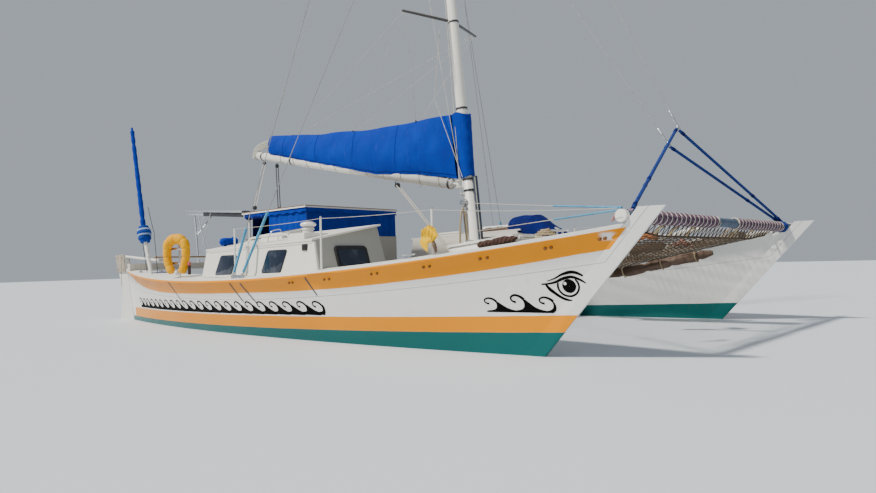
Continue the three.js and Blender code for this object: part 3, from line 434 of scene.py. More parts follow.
def rope(name, points, radius, sides=8):
    """A closed tube along points. Its UV runs along it in metres, and round it from 0 to 1."""
    path = [Vector(p) for p in points]
    let_go()
    bpy.ops.mesh.primitive_cylinder_add(vertices=sides, radius=1, depth=1, end_fill_type="NOTHING")
    piece = named(name)
    mesh = piece.data
    mesh.clear_geometry()
    tangent = (path[1] - path[0]).normalized()
    side = tangent.orthogonal().normalized()
    spots, faces, reach = [], [], [0.0]
    for i, point in enumerate(path):
        ahead = (path[min(i + 1, len(path) - 1)] - path[max(i - 1, 0)]).normalized()
        side = tangent.rotation_difference(ahead) @ side
        tangent = ahead
        if i:
            reach.append(reach[-1] + (point - path[i - 1]).length)
        width = radius[i] if isinstance(radius, list) else radius
        spots += circle(point, width, side, tangent.cross(side), sides)[:-1]
    for i in range(len(path) - 1):
        for k in range(sides):
            a, b = i * sides + k, i * sides + (k + 1) % sides
            faces.append((a, b, b + sides, a + sides))
    last = (len(path) - 1) * sides
    faces += [tuple(range(sides - 1, -1, -1)), tuple(range(last, last + sides))]
    mesh.from_pydata(spots, [], faces)
    layer = mesh.uv_layers[0] if mesh.uv_layers else mesh.uv_layers.new(name="UVMap")
    for face in mesh.polygons[:-2]:
        ring, k = divmod(face.index, sides)
        corners = ((ring, k), (ring, k + 1), (ring + 1, k + 1), (ring + 1, k))
        for corner, (r, s) in zip(face.loop_indices, corners):
            layer.data[corner].uv = (reach[r], s / sides)
    mesh.update()
    return piece


def circle(centre, radius, a, b, count):
    """Points round a closed circle in the plane of a and b."""
    turns = [2 * pi * k / count for k in range(count + 1)]
    return [Vector(centre) + radius * (cos(t) * Vector(a) + sin(t) * Vector(b)) for t in turns]


def hanging(start, end, sag, count=14):
    """Points on a line that hangs between two places, lowest by sag at its middle."""
    a, b = Vector(start), Vector(end)
    return [a.lerp(b, t) - UP * 4 * sag * t * (1 - t) for t in (k / (count - 1) for k in range(count))]


print("lines: line_through, rope, circle, hanging")

# %% [markdown]
# ## Finishes
# Each finish starts from one Principled shader. Its pattern reads Object coordinates, so
# it stays put on every piece at its real scale, and a Mapping node stretches it into
# grain, brush strokes or rain streaks. A value that varies over the surface is held in a
# small class, so that sums of such values can be written as sums.

# %% Tools for finishes
SLOT_OF = {}


class Field:
    """A value that varies over a surface: one output of a node."""

    def __init__(self, material, socket):
        self.material, self.socket = material, socket

    def math(self, operation, *others):
        inputs = dict(enumerate((self, *others)))
        return put(self.material, "ShaderNodeMath", 0, inputs, operation=operation)

    def __add__(self, other):
        return self.math("ADD", other)

    def __sub__(self, other):
        return self.math("SUBTRACT", other)

    def __mul__(self, other):
        return self.math("MULTIPLY", other)

    def __abs__(self):
        return self.math("ABSOLUTE")

    def scaled(self, factor, shift):
        return self.math("MULTIPLY_ADD", factor, shift)


def feed(socket, value):
    if isinstance(value, Field):
        value.material.node_tree.links.new(value.socket, socket)
    else:
        socket.default_value = value


def put(material, kind, output, inputs=(), **settings):
    """Adds a node, feeds it fields or plain values, and gives one of its outputs."""
    node = material.node_tree.nodes.new(kind)
    for key, value in settings.items():
        setattr(node, key, value)
    for key, value in dict(inputs).items():
        feed(node.inputs[key], value)
    return Field(material, node.outputs[output])


def into(material, socket, value):
    feed(material.node_tree.nodes["Principled BSDF"].inputs[socket], value)


def finish(name, slot, roughness=0.5, metallic=0.0, **sockets):
    material = bpy.data.materials.new(name)
    material.use_nodes = True
    into(material, "Roughness", roughness)
    into(material, "Metallic", metallic)
    for key, value in sockets.items():
        into(material, key.replace("_", " "), value)
    SLOT_OF[name] = slot
    return material


def places(material, scale=(1, 1, 1), turn=(0, 0, 0)):
    coords = put(material, "ShaderNodeTexCoord", "Object")
    inputs = {"Vector": coords, "Scale": scale, "Rotation": turn}
    return put(material, "ShaderNodeMapping", "Vector", inputs)


def apart(vector):
    """The X, Y and Z of a vector field."""
    x = put(vector.material, "ShaderNodeSeparateXYZ", "X", {"Vector": vector})
    return [Field(vector.material, socket) for socket in x.socket.node.outputs]


def cloudy(material, size, detail=5.0, **mapping):
    """Noise whose patches are about size metres across."""
    inputs = {"Vector": places(material, **mapping), "Scale": 1 / size, "Detail": detail}
    return put(material, "ShaderNodeTexNoise", "Fac", inputs)


def between(field, low, high):
    """0 below low, 1 above high, smooth in between."""
    inputs = {"Value": field, "From Min": low, "From Max": high}
    return put(field.material, "ShaderNodeMapRange", "Result", inputs, interpolation_type="SMOOTHSTEP")


def tint(material, factor, a, b, mode="MIX"):
    """Colour a where factor is 0, and b where it is 1. Either may be a field or a colour."""
    a, b = [colour if isinstance(colour, Field) else (*colour, 1) for colour in (a, b)]
    inputs = {"Factor": factor, 6: a, 7: b}
    return put(material, "ShaderNodeMix", 2, inputs, data_type="RGBA", blend_type=mode)


def dented(height, depth, strength):
    inputs = {"Height": height, "Distance": depth, "Strength": strength}
    into(height.material, "Normal", put(height.material, "ShaderNodeBump", "Normal", inputs))


def spread(field, low, high):
    inputs = {"Value": field, "To Min": low, "To Max": high}
    return put(field.material, "ShaderNodeMapRange", "Result", inputs)


def patchy_gloss(field, low, high):
    into(field.material, "Roughness", spread(field, low, high))


def weather(m, colour, grime=(0.42, 0.38, 0.31), amount=0.35):
    """Slow shade changes, rain streaks and small chips over a painted colour."""
    shaded = tint(m, cloudy(m, 0.9, 4), (0.9, 0.9, 0.9), (1.05, 1.05, 1.05))
    mixed = tint(m, 1.0, colour, shaded, "MULTIPLY")
    streaks = between(cloudy(m, 0.05, 6, scale=(1, 1, 0.07)), 0.52, 0.76)
    dirt = streaks * between(cloudy(m, 0.6, 3), 0.42, 0.72)
    chips = between(cloudy(m, 0.018, 6), 0.7, 0.74)
    return tint(m, chips * (amount * 0.8), tint(m, dirt * amount, mixed, grime), grime)


print("finish tools ready")

# %% [markdown]
# ## Hull paint
# The topsides are white gloss with an orange band under the gunwale and a second one over
# the teal bottom paint, on the outboard sides only. The edges of the bands are curves in
# x and z, so the paint is worked out from the place on the hull: a Float Curve node holds
# the foot of the upper band, and parabolas give the sheer and the lower band.

# %% Hull paint
HULL_Y = 2.449
WHITE = (0.8, 0.79, 0.755)
ORANGE = (0.82, 0.285, 0.0)
TEAL = (0.004, 0.115, 0.112)
DECK_CREAM = (0.72, 0.7, 0.63)
LOW_BAND = {"x": -4.455, "z": 0.0911, "bend": 0.001707, "high": 0.175, "aft": -4.44}
SEAM = {"x": -0.7, "z": 0.52, "bend": 0.0096, "half": 0.0045}
SHEER = {"x": -0.9, "z": 0.82, "fore": 0.00965, "aft": 0.0131, "gunwale": 0.01, "band_top": 0.00909}
STEM = {"x": 5.19, "rake": 0.915, "bare": 0.05}
# Foot of the upper band: x, z
UPPER_BAND_FOOT = [
    (-5.0, 0.96), (-4.22, 0.855), (-3.72, 0.748), (-3.17, 0.67), (-2.71, 0.632), (-2.16, 0.606),
    (-1.5, 0.6), (0.37, 0.63), (2.4, 0.697), (3.8, 0.8), (5.2, 0.952), (5.9, 1.052), (6.4, 1.115),
]
CURVE_X = (-5.5, 6.5)
CURVE_Z = 1.5
# A worn patch at the band's fore end: where, and the half widths between which it fades
SCRAPE = {"x": 6.13, "wide": (0.1, 0.02), "z": 1.205, "high": (0.05, 0.02)}


def sheer_at(x):
    bend = SHEER["fore"] if x > SHEER["x"] else SHEER["aft"]
    return SHEER["z"] + bend * (x - SHEER["x"]) ** 2


def low_band_at(x):
    return LOW_BAND["z"] + LOW_BAND["bend"] * (x - LOW_BAND["x"]) ** 2


def curve_through(x, marks):
    low, high = CURVE_X
    inputs = {"Value": x, "From Min": low, "From Max": high}
    share = put(x.material, "ShaderNodeMapRange", "Result", inputs)
    height = put(x.material, "ShaderNodeFloatCurve", "Value", {"Value": share})
    mapping = height.socket.node.mapping
    spots = [((mark_x - low) / (high - low), mark_z / CURVE_Z) for mark_x, mark_z in marks]
    mapping.curves[0].points[0].location = spots[0]
    mapping.curves[0].points[1].location = spots[-1]
    for spot in spots[1:-1]:
        mapping.curves[0].points.new(*spot)
    mapping.update()
    return height * CURVE_Z


def parabola(x, middle, low, bend):
    away = x - middle
    return (away * away).scaled(bend, low)


def hull_paint():
    m = finish("hull_gloss_paint", "hull_paint", 0.34, Coat_Weight=0.03, Coat_Roughness=0.15,
               Specular_IOR_Level=0.12)
    x, y, true_z = apart(places(m))
    z = true_z + cloudy(m, 0.22, 3).scaled(0.008, -0.004)
    outboard = between(abs(y), HULL_Y - 0.002, HULL_Y + 0.002)

    def over(a, b, soft=0.002):
        return between(a - b, -soft, soft)

    foot = parabola(x, LOW_BAND["x"], LOW_BAND["z"], LOW_BAND["bend"])
    low_band = over(z, foot) * over(foot + LOW_BAND["high"], z) * over(x, LOW_BAND["aft"])
    under = SHEER["z"] - SHEER["gunwale"]
    sheer_aft = parabola(x, SHEER["x"], under, SHEER["aft"])
    sheer_fore = parabola(x, SHEER["x"], under, SHEER["band_top"])
    gunwale = (sheer_fore - sheer_aft).scaled(over(x, SHEER["x"], 0.02), sheer_aft)
    band_end = true_z.scaled(STEM["rake"], STEM["x"] - STEM["bare"])
    worn_end = cloudy(m, 0.12, 4).scaled(0.5, -4.95)
    upper_band = over(z, curve_through(x, UPPER_BAND_FOOT)) * over(gunwale, true_z)
    upper_band = upper_band * over(band_end, x) * over(x, worn_end, 0.12)
    bands = low_band.math("MAXIMUM", upper_band) * outboard

    scrape = between(abs(x - SCRAPE["x"]), *SCRAPE["wide"])
    scrape = scrape * between(abs(true_z - SCRAPE["z"]), *SCRAPE["high"])
    scrape = scrape * between(cloudy(m, 0.07, 4, scale=(0.4, 1, 1)), 0.38, 0.46)
    white = weather(m, WHITE, amount=0.22)
    orange = weather(m, ORANGE, (0.6, 0.17, 0.0), 0.22)
    colour = tint(m, bands * scrape.scaled(-1, 1), white, orange)

    seam = parabola(x, SEAM["x"], SEAM["z"], SEAM["bend"])
    stem_line = true_z.scaled(STEM["rake"], STEM["x"])
    on_seam = between(abs(true_z - seam), SEAM["half"], SEAM["half"] * 0.4) * over(stem_line, x)
    on_stem = between(abs(x - stem_line), 0.006, 0.002) * over(true_z, seam)
    colour = tint(m, on_seam.math("MAXIMUM", on_stem) * 0.62, colour, (0.1, 0.09, 0.08))
    colour = tint(m, over(foot, z), colour, weather(m, TEAL, (0.05, 0.1, 0.07), 0.5))

    up = apart(put(m, "ShaderNodeTexCoord", "Normal"))[2]
    on_deck = between(up, 0.55, 0.75) * over(true_z, gunwale)
    into(m, "Base Color", tint(m, on_deck, colour, weather(m, DECK_CREAM, amount=0.5)))
    into(m, "Roughness", on_deck.scaled(0.4, spread(cloudy(m, 0.35, 5), 0.24, 0.42)))
    strokes = cloudy(m, 0.01, 4, scale=(0.06, 1, 1))
    grit = cloudy(m, 0.003, 2) * on_deck
    dented(grit.scaled(2.0, cloudy(m, 0.55, 2).scaled(6.0, strokes)), 0.001, 0.45)
    return m


HULL_PAINT = hull_paint()
print("hull paint nodes:", len(HULL_PAINT.node_tree.nodes))

# %% [markdown]
# ## Other paints and timbers
# A cruising boat carries many paints: cream on the cabins, a flat grey, white on spars, and
# bare or half-bare timber on plank and rudder heads. The grey on the starboard cabin's front
# is painted shade, for a face turned from the sun. Wood is noise stretched along its grain,
# in two sizes.

# %% Paints and timbers
def plain_paint(name, slot, colour, roughness=0.35, grime=(0.4, 0.36, 0.3), amount=0.3, coat=0.1, shine=0.4):
    m = finish(name, slot, roughness, Coat_Weight=coat, Coat_Roughness=0.2, Specular_IOR_Level=shine)
    into(m, "Base Color", weather(m, colour, grime, amount))
    patchy_gloss(cloudy(m, 0.4, 5), roughness - 0.07, roughness + 0.14)
    strokes = cloudy(m, 0.012, 4, scale=(0.08, 0.08, 1))
    dented(cloudy(m, 0.5, 2).scaled(4.0, strokes), 0.0008, 0.5)
    return m


def along_grain(axis, thin):
    return [thin if letter == axis else 1.0 for letter in "xyz"]


def timber(name, slot, pale, dark, axis, roughness=0.75, paint=None, bared=0.5):
    """Grain along one axis. With paint, the timber shows only where the paint has worn off."""
    m = finish(name, slot, roughness)
    scale = along_grain(axis, 0.05)
    grain = height = cloudy(m, 0.014, 6, scale=scale)
    figure = between(cloudy(m, 0.11, 3, scale=scale), 0.45, 0.7)
    colour = tint(m, figure * 0.5, tint(m, between(grain, 0.34, 0.68), pale, dark), dark)
    if paint:
        worn = between(cloudy(m, 0.13, 7, scale=scale), bared, bared + 0.05)
        colour = tint(m, worn, weather(m, paint, amount=0.45), colour)
        height = worn.scaled(-1.5, grain)
    into(m, "Base Color", colour)
    patchy_gloss(grain, roughness - 0.12, roughness + 0.12)
    dented(height, 0.002, 0.6)
    return m


SPAR_CREAM = ((0.8, 0.775, 0.7), 0.34, (0.33, 0.25, 0.17), 0.55, 0.15)
CABIN_PAINT = plain_paint("cabin_cream_paint", "cabin_paint", (0.82, 0.785, 0.695), 0.32, amount=0.26)
ROOF_PAINT = plain_paint("cabin_roof_paint", "cabin_paint", (0.8, 0.775, 0.7), 0.45, amount=0.45)
# Grey paint; on the starboard cabin front it is painted shade for a face turned from the sun
GREY_PAINT_AND_SHADE = plain_paint("grey_paint_and_painted_shade", "grey_paint", (0.4, 0.39, 0.35), 0.6, (0.2, 0.18, 0.15), 0.3, 0.0)
LID_PAINT = plain_paint("hatch_lid_paint", "lid_paint", (0.77, 0.755, 0.69), 0.42, amount=0.4)
HARDTOP_PAINT = plain_paint("hardtop_gloss_paint", "cabin_paint", (0.84, 0.82, 0.76), 0.28, coat=0.3)
SPAR_PAINT = plain_paint("spar_cream_paint", "alloy", *SPAR_CREAM)
BLACK_PAINT = plain_paint("ornament_black_paint", "hull_paint", (0.003, 0.003, 0.003), 0.55,
                          (0.03, 0.027, 0.025), 0.12, 0.0, 0.03)
BROWN_TRIM = plain_paint("varnished_edge", "timber", (0.2, 0.105, 0.045), 0.4, (0.08, 0.04, 0.02), 0.5, 0.3)

OLD_WOOD = "weathered_timber"
GREY_WOOD = timber("weathered_grey_timber", OLD_WOOD, (0.4, 0.36, 0.3), (0.13, 0.105, 0.08), "x")
DECK_WOOD = timber("deck_slat_timber", OLD_WOOD, (0.43, 0.37, 0.28), (0.16, 0.12, 0.08), "y")
HEAD_WOOD = timber("rudder_head_timber", OLD_WOOD, (0.5, 0.44, 0.35), (0.2, 0.16, 0.12), "z")
POLE_WOOD = timber("pole_timber", "timber", (0.46, 0.3, 0.15), (0.2, 0.11, 0.05), "y", 0.5)
BEAM_WOOD = timber("painted_beam_timber", "timber", (0.42, 0.33, 0.22), (0.17, 0.12, 0.08), "y", 0.55,
                   (0.62, 0.58, 0.5), 0.56)
RUDDER_WOOD = timber("rudder_blade_paint", OLD_WOOD, (0.42, 0.36, 0.28), (0.16, 0.13, 0.1), "z", 0.5,
                     (0.72, 0.7, 0.65), 0.6)
print("paints and timbers ready")

# %% [markdown]
# Canvas is two crossing waves a couple of millimetres wide for its weave, over slow shade
# changes where sun and salt have faded it. Rope reads its own UV map instead, so that its
# strands wind round it wherever it goes.

# %% Canvas, rope and metal
def canvas(name, colour, faded, slot="blue_canvas", roughness=0.85, thread=0.0022):
    m = finish(name, slot, roughness, Specular_IOR_Level=0.12)
    inputs = {"Vector": places(m, turn=(0, 0, 0.6)), "Scale": 1 / (thread * 6.28), "Distortion": 0.4}
    warp, weft = [put(m, "ShaderNodeTexWave", "Fac", inputs, bands_direction=axis) for axis in "XZ"]
    weave = warp * weft
    fade = between(cloudy(m, 0.3, 6), 0.36, 0.72)
    dusty = between(cloudy(m, 0.05, 6, scale=(1, 1, 0.2)), 0.6, 0.85)
    shaded = tint(m, dusty * 0.25, tint(m, fade, colour, faded), [0.5 * c + 0.16 for c in faded])
    into(m, "Base Color", tint(m, weave * 0.22, shaded, [c * 0.4 for c in colour]))
    patchy_gloss(fade, roughness - 0.1, roughness + 0.08)
    dented(cloudy(m, 0.07, 5).scaled(9.0, weave), 0.0011, 0.6)
    return m


def cordage(name, pale, dark, slot="served_rope", strands=3.0, lay=0.05, roughness=0.85):
    """Twisted rope on a UV map with metres along U and one turn round in V."""
    m = finish(name, slot, roughness, Specular_IOR_Level=0.2)
    u, v, _ = apart(put(m, "ShaderNodeUVMap", "UV", uv_map="UVMap"))
    phase = v.scaled(strands, u.math("DIVIDE", lay))
    crest = between(phase.math("PINGPONG", 0.5), 0.02, 0.38)
    fibres = cloudy(m, 0.006, 5)
    worn = between(cloudy(m, 0.12, 4), 0.42, 0.75)
    colour = tint(m, crest, dark, tint(m, worn * 0.6, pale, dark))
    into(m, "Base Color", tint(m, fibres * 0.25, colour, dark))
    dented(fibres.scaled(0.25, crest), 0.0022, 0.7)
    return m


def metal(name, slot, colour, roughness, stain=(0.3, 0.22, 0.14), stained=0.3, axis="z"):
    m = finish(name, slot, roughness, 1.0)
    brushed = cloudy(m, 0.006, 4, scale=along_grain(axis, 0.06))
    spots = between(cloudy(m, 0.05, 7), 0.6, 0.72)
    into(m, "Base Color", tint(m, spots * stained, colour, stain))
    patchy_gloss(brushed, roughness - 0.08, roughness + 0.16)
    dented(brushed, 0.0003, 0.4)
    return m


BLUE_CANVAS = canvas("royal_blue_canvas", (0.003, 0.03, 0.31), (0.005, 0.043, 0.38))
# Navy canvas; on the aft curtain and the port hood its darkness is also painted shade
NAVY_CANVAS = canvas("navy_canvas", (0.002, 0.007, 0.095), (0.003, 0.011, 0.13))
WHITE_CLOTH = canvas("white_sail_cloth", (0.72, 0.7, 0.63), (0.8, 0.79, 0.74), thread=0.0016)
YELLOW_CLOTH = canvas("yellow_cloth", (0.78, 0.47, 0.0), (0.86, 0.56, 0.02))
BROWN_CLOTH = canvas("brown_sail_bag", (0.085, 0.055, 0.04), (0.17, 0.12, 0.09))
GREY_CLOTH = canvas("grey_cloth", (0.3, 0.3, 0.29), (0.42, 0.42, 0.4))
RED_CLOTH = canvas("faded_red_cloth", (0.42, 0.12, 0.1), (0.55, 0.26, 0.22))
BUOY_COVER = canvas("yellow_buoy_cover", (0.84, 0.385, 0.0), (0.9, 0.45, 0.004), "buoy_foam", 0.6, 0.0018)

BLUE_ROPE = cordage("dark_blue_rope", (0.02, 0.06, 0.3), (0.006, 0.015, 0.09))
SKY_ROPE = cordage("light_blue_rope", (0.13, 0.42, 0.62), (0.05, 0.2, 0.36))
WHITE_ROPE = cordage("white_rope", (0.74, 0.71, 0.63), (0.36, 0.33, 0.27), lay=0.03)
TAN_ROPE = cordage("tan_rope", (0.5, 0.41, 0.25), (0.22, 0.16, 0.09), lay=0.04)
DARK_ROPE = cordage("dark_rope", (0.07, 0.06, 0.055), (0.02, 0.018, 0.016), lay=0.03)
WIRE = cordage("rigging_wire", (0.5, 0.5, 0.49), (0.17, 0.17, 0.17), "steel", 6, 0.02, 0.45)

STAINLESS = metal("stainless_steel", "steel", (0.62, 0.63, 0.64), 0.26, stained=0.5)
ALUMINIUM = metal("anodised_aluminium", "alloy", (0.72, 0.73, 0.74), 0.36, stained=0.15, axis="y")
# Dark metal for fittings; it also colours the painted shadow streaks on the hull sides
DARK_METAL_AND_SHADOW = metal("dark_metal_and_painted_shadow", "steel", (0.1, 0.1, 0.105), 0.42, stained=0.4)
BRONZE = metal("brown_bolt_metal", "steel", (0.24, 0.12, 0.05), 0.55, (0.1, 0.05, 0.03), 0.8)

GLASS = finish("tinted_window", "cabin_paint", 0.06, IOR=1.5, Coat_Weight=0.1, Coat_Roughness=0.03,
               Specular_IOR_Level=0.35)
smears = between(cloudy(GLASS, 0.18, 6), 0.5, 0.8)
into(GLASS, "Base Color", tint(GLASS, smears, (0.01, 0.016, 0.032), (0.045, 0.058, 0.08)))
patchy_gloss(smears, 0.05, 0.22)
RUBBER = plain_paint("black_rubber", "grey_paint", (0.016, 0.016, 0.017), 0.6, (0.16, 0.15, 0.14), 0.25, 0.0)
DARK_PLASTIC = plain_paint("black_plastic", "grey_paint", (0.022, 0.022, 0.024), 0.45,
                           (0.14, 0.13, 0.12), 0.2)
WHITE_PLASTIC = plain_paint("white_plastic", "cabin_paint", (0.78, 0.77, 0.73), 0.3, amount=0.35)
print("finishes:", len(SLOT_OF))

# %% [markdown]
# A finished piece is smoothed by angle, takes one finish, and rides on a body of the
# frame. Where it stands for a plain solid of the frame, that solid is hidden.

# %% Handing a piece over
MADE = []


def dress(piece, material, body="boat", stands_for=(), angle=34):
    fix_place(piece)
    bpy.ops.object.shade_smooth_by_angle(angle=radians(angle))
    piece.data.name = piece.name
    piece.data.materials.clear()
    piece.data.materials.append(material)
    if body:
        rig.ride(piece, body)
    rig.slot(piece, SLOT_OF[material.name])
    if stands_for:
        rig.replaces(piece, *stands_for)
    MADE.append(piece.name)
    return piece


def gear(name, pieces, material, body="boat", **more):
    """Joins parts into one piece and hands it over."""
    return dress(join(name, pieces), material, body, **more)


def paint_node(name, material):
    for place in NODES[name].material_slots:
        place.material = material


SIDES = {"starboard": -1, "port": 1}
print("sides:", SIDES)

# %% [markdown]
# ## Hull skins
# The frame's hull is made in flat facets that meet at a bulkhead. A copy of it can be
# welded into one skin and smoothed by angle, which keeps every line where the builder put
# it. The copy's two bulkhead faces go first, so that the skin is one closed shell.

# %% Hull skins
BULKHEAD_X = 2.24


def welded_copy(name, nodes, drop=None):
    piece = join(name, [copy_of(NODES[node], name) for node in nodes])
    piece.data.materials.clear()
    if drop:
        open_mesh(piece)
        bpy.ops.mesh.select_mode(type="FACE")
        bpy.ops.mesh.select_all(action="DESELECT")
        let_go()
        for face in piece.data.polygons:
            face.select = drop(face)
        pick(piece)
        bpy.ops.object.mode_set(mode="EDIT")
        bpy.ops.mesh.delete(type="FACE")
    open_mesh(piece)
    bpy.ops.mesh.remove_doubles(threshold=0.0006)
    let_go()
    return piece


def on_bulkhead(face):
    return abs(face.center.x - BULKHEAD_X) < 0.001 and abs(face.normal.x) > 0.99


def ray_target(*meshes):
    """Meshes made ready for rays to be shot at them."""
    corners, faces = [], []
    for mesh in meshes:
        faces += [[len(corners) + k for k in face.vertices] for face in mesh.polygons]
        corners += [vertex.co.copy() for vertex in mesh.vertices]
    return BVHTree.FromPolygons(corners, faces)


HULL_SKIN = {}
for side in SIDES:
    nodes = ("hull_aft_" + side, "hull_fore_" + side)
    skin = welded_copy("hull_skin_" + side, nodes, on_bulkhead)
    dress(skin, HULL_PAINT, stands_for=nodes, angle=24)
    paint_node("stem_" + side, HULL_PAINT)
    HULL_SKIN[side] = ray_target(skin.data, NODES["stem_" + side].data)
    print(skin.name, len(skin.data.polygons), "faces")

# %% [markdown]
# ## Painted ornament
# A running-wave scroll, the old Mediterranean sea border, follows the white strake, and
# each bow carries a plain painted eye, as boats have from Malta to Bali. Each stroke is a
# narrow sheet laid on the skin: a ray shot at the hull from the side finds the surface,
# and the paint lies 2 mm proud of it so that the two never flicker together.

# %% Strokes on the skin
PAINT_PROUD = 0.0022


def on_skin(side, x, z, proud=PAINT_PROUD):
    sign = SIDES[side]
    for nudge in (0, -0.003, 0.003):
        seen_from = Vector((x + nudge, sign * 6, z))
        place, normal, _, _ = HULL_SKIN[side].ray_cast(seen_from, Vector((0, -sign, 0)))
        if place:
            return place + normal * proud


def stroke(side, marks, widths, columns=22):
    """A painted stroke along marks of (x, z), with its width at each mark."""
    path = line_through([(x, 0, z) for x, z in marks], columns + 1)
    spread_out = line_through([(i, 0, w) for i, w in enumerate(widths)], 40)

    def width_at(u):
        wanted = u * (len(widths) - 1)
        pairs = zip(spread_out, spread_out[1:])
        a, b = next(((p, q) for p, q in pairs if q.x >= wanted), spread_out[-2:])
        return a.z + (b.z - a.z) * (wanted - a.x) / max(b.x - a.x, 1e-9)

    def place(u, v):
        i = min(round(u * columns), columns)
        along = (path[min(i + 1, columns)] - path[max(i - 1, 0)]).normalized()
        spot = path[i] + Vector((-along.z, 0, along.x)) * (v - 0.5) * width_at(u)
        return on_skin(side, spot.x, spot.z)

    return sheet("stroke", columns, 2, place)


def disc(side, x, z, radius, inner, proud=PAINT_PROUD):
    def place(u, v):
        reach = inner + (radius - inner) * v
        return on_skin(side, x + reach * cos(2 * pi * u), z + reach * sin(2 * pi * u), proud)

    return sheet("disc", 28, 3, place)


def painted(name, side, pieces, material=BLACK_PAINT):
    piece = join(name, pieces)
    open_mesh(piece)
    bpy.ops.mesh.remove_doubles(threshold=0.0001)
    let_go()
    if sum(face.normal.y * face.area for face in piece.data.polygons) * SIDES[side] < 0:
        piece.data.flip_normals()
    shape_with(piece, "SOLIDIFY", thickness=0.0012, offset=0.0)
    return dress(piece, material, angle=60)


# One wave of the scroll, in shares of its step and its height. Its body lies between a
# front and a back edge, and a thin curl leaves the body's top. The tall waves at the bow
# have a slimmer body than those of the border, and the last wave of a row its own back.
LOW_BODY = [
    (0.0, 0.2, 1.42), (0.2, 0.24, 1.4), (0.24, 0.5, 1.32), (0.31, 0.585, 1.2), (0.36, 0.6, 1.1),
    (0.47, 0.605, 0.97), (0.58, 0.59, 0.85), (0.68, 0.555, 0.75), (0.75, 0.51, 0.66),
]
LOW_LAST = [0.66, 0.74, 0.745, 0.75, 0.755, 0.755, 0.74, 0.71, 0.66]
LOW_CURL = [(0.59, 0.72), (0.43, 0.89), (0.24, 0.955), (0.09, 0.89), (0.05, 0.75), (0.11, 0.61), (0.23, 0.57)]
TALL_BODY = [
    (0.0, 0.06, 1.26), (0.1, 0.08, 1.24), (0.14, 0.3, 1.12), (0.2, 0.4, 0.98), (0.32, 0.465, 0.83),
    (0.48, 0.48, 0.7), (0.6, 0.467, 0.61), (0.7, 0.435, 0.54),
]
TALL_LAST = [0.44, 0.52, 0.535, 0.555, 0.573, 0.565, 0.535, 0.49]
TALL_CURL = [(0.49, 0.7), (0.38, 0.86), (0.21, 0.95), (0.07, 0.87), (0.04, 0.73), (0.1, 0.61), (0.2, 0.57)]
CURL_WIDTHS = [0.17, 0.145, 0.125, 0.11, 0.1, 0.1, 0.13]


def read_off(marks, at, column=1):
    """A value from a table of rows, between the two rows on either side of at."""
    for low, high in zip(marks, marks[1:]):
        if at <= high[0]:
            share = (at - low[0]) / (high[0] - low[0])
            return low[column] + (high[column] - low[column]) * max(share, 0)
    return marks[-1][column]


def wave(side, x, foot, step, height, body, curl, last=None):
    rows = [(h, front, back) for (h, front, _), back in zip(body, last)] if last else body

    def place(u, v):
        share = v * body[-1][0]
        front, back = read_off(rows, share), read_off(rows, share, 2)
        return on_skin(side, x + step * (front + (back - front) * u), foot + height * share)

    line = [(x + step * a, foot + height * b) for a, b in curl]
    return [sheet("body", 6, 30, place), stroke(side, line, [height * w for w in CURL_WIDTHS])]


SCROLL = {"from": -3.95, "last": 2.115, "aft_step": 0.262, "fore_step": 0.31, "high": 0.182, "gap": 0.022}


def scroll_foot(x):
    return low_band_at(x) + LOW_BAND["high"] + SCROLL["gap"]


for side in SIDES:
    strokes = []
    x = SCROLL["last"]
    while x > SCROLL["from"]:
        share = (SCROLL["last"] - x) / (SCROLL["last"] - SCROLL["from"])
        step = SCROLL["fore_step"] + (SCROLL["aft_step"] - SCROLL["fore_step"]) * share
        closing = LOW_LAST if x == SCROLL["last"] else None
        strokes += wave(side, x, scroll_foot(x + step / 2), step, SCROLL["high"], LOW_BODY, LOW_CURL, closing)
        x -= step
    border = painted("wave_border_" + side, side, strokes)
    print(border.name, len(border.data.polygons), "faces")

# %% [markdown]
# The bow eye is two lids, a brow, an open ring and a pupil with a small white glint. The
# marks are metres from the pupil's middle. Between the eye and the scroll's end stand
# three tall waves of the same family.

# %% Bow eye and tall waves
EYE = (5.68, 0.73)
RING = [(0.106 * cos(a), 0.098 * sin(a)) for a in (radians(158 + 247 * k / 16) for k in range(17))]
# Marks from the pupil's middle, widths at the marks, columns
EYE_STROKES = [
    ([(-0.272, 0.024), (-0.204, 0.028), (-0.124, 0.044), (-0.05, 0.076), (0.036, 0.095), (0.108, 0.074),
      (0.18, 0.033)], [0.014, 0.018, 0.024, 0.029, 0.028, 0.024, 0.012], 34),
    ([(-0.225, 0.018), (-0.196, -0.022), (-0.15, -0.064), (-0.09, -0.108), (-0.03, -0.134), (0.022, -0.138)],
     [0.02, 0.036, 0.03, 0.027, 0.024, 0.01], 26),
    ([(-0.208, 0.054), (-0.124, 0.082), (-0.05, 0.119), (0.036, 0.142), (0.1, 0.134), (0.158, 0.104)],
     [0.008, 0.013, 0.02, 0.03, 0.029, 0.018], 26),
    (RING, [0.014] + [0.02] * 15 + [0.01], 40),
]
TALL_WAVES = [(4.725, 0.158), (5.035, 0.193), (5.345, 0.17)]

for side in SIDES:
    shapes = [
        stroke(side, [(EYE[0] + a, EYE[1] + b) for a, b in marks], widths, columns)
        for marks, widths, columns in EYE_STROKES
    ]
    shapes.append(disc(side, EYE[0] + 0.008, EYE[1] + 0.004, 0.069, 0.002))
    painted("bow_eye_" + side, side, shapes)
    glint = disc(side, EYE[0] - 0.03, EYE[1] + 0.03, 0.016, 0.001, 0.004)
    painted("eye_glint_" + side, side, [glint], WHITE_PLASTIC)
    tall = []
    for x, height in TALL_WAVES:
        closing = TALL_LAST if x == TALL_WAVES[-1][0] else None
        tall += wave(side, x, scroll_foot(5.2) + 0.012, 0.315, height, TALL_BODY, TALL_CURL, closing)
    painted("tall_waves_" + side, side, tall)
print("ornament done:", MADE[-4:])

# %% [markdown]
# ## Paint on the frame's own pieces
# Many solids already have the right shape and only need a finish. A node keeps its mesh
# and takes a new material in its slots.

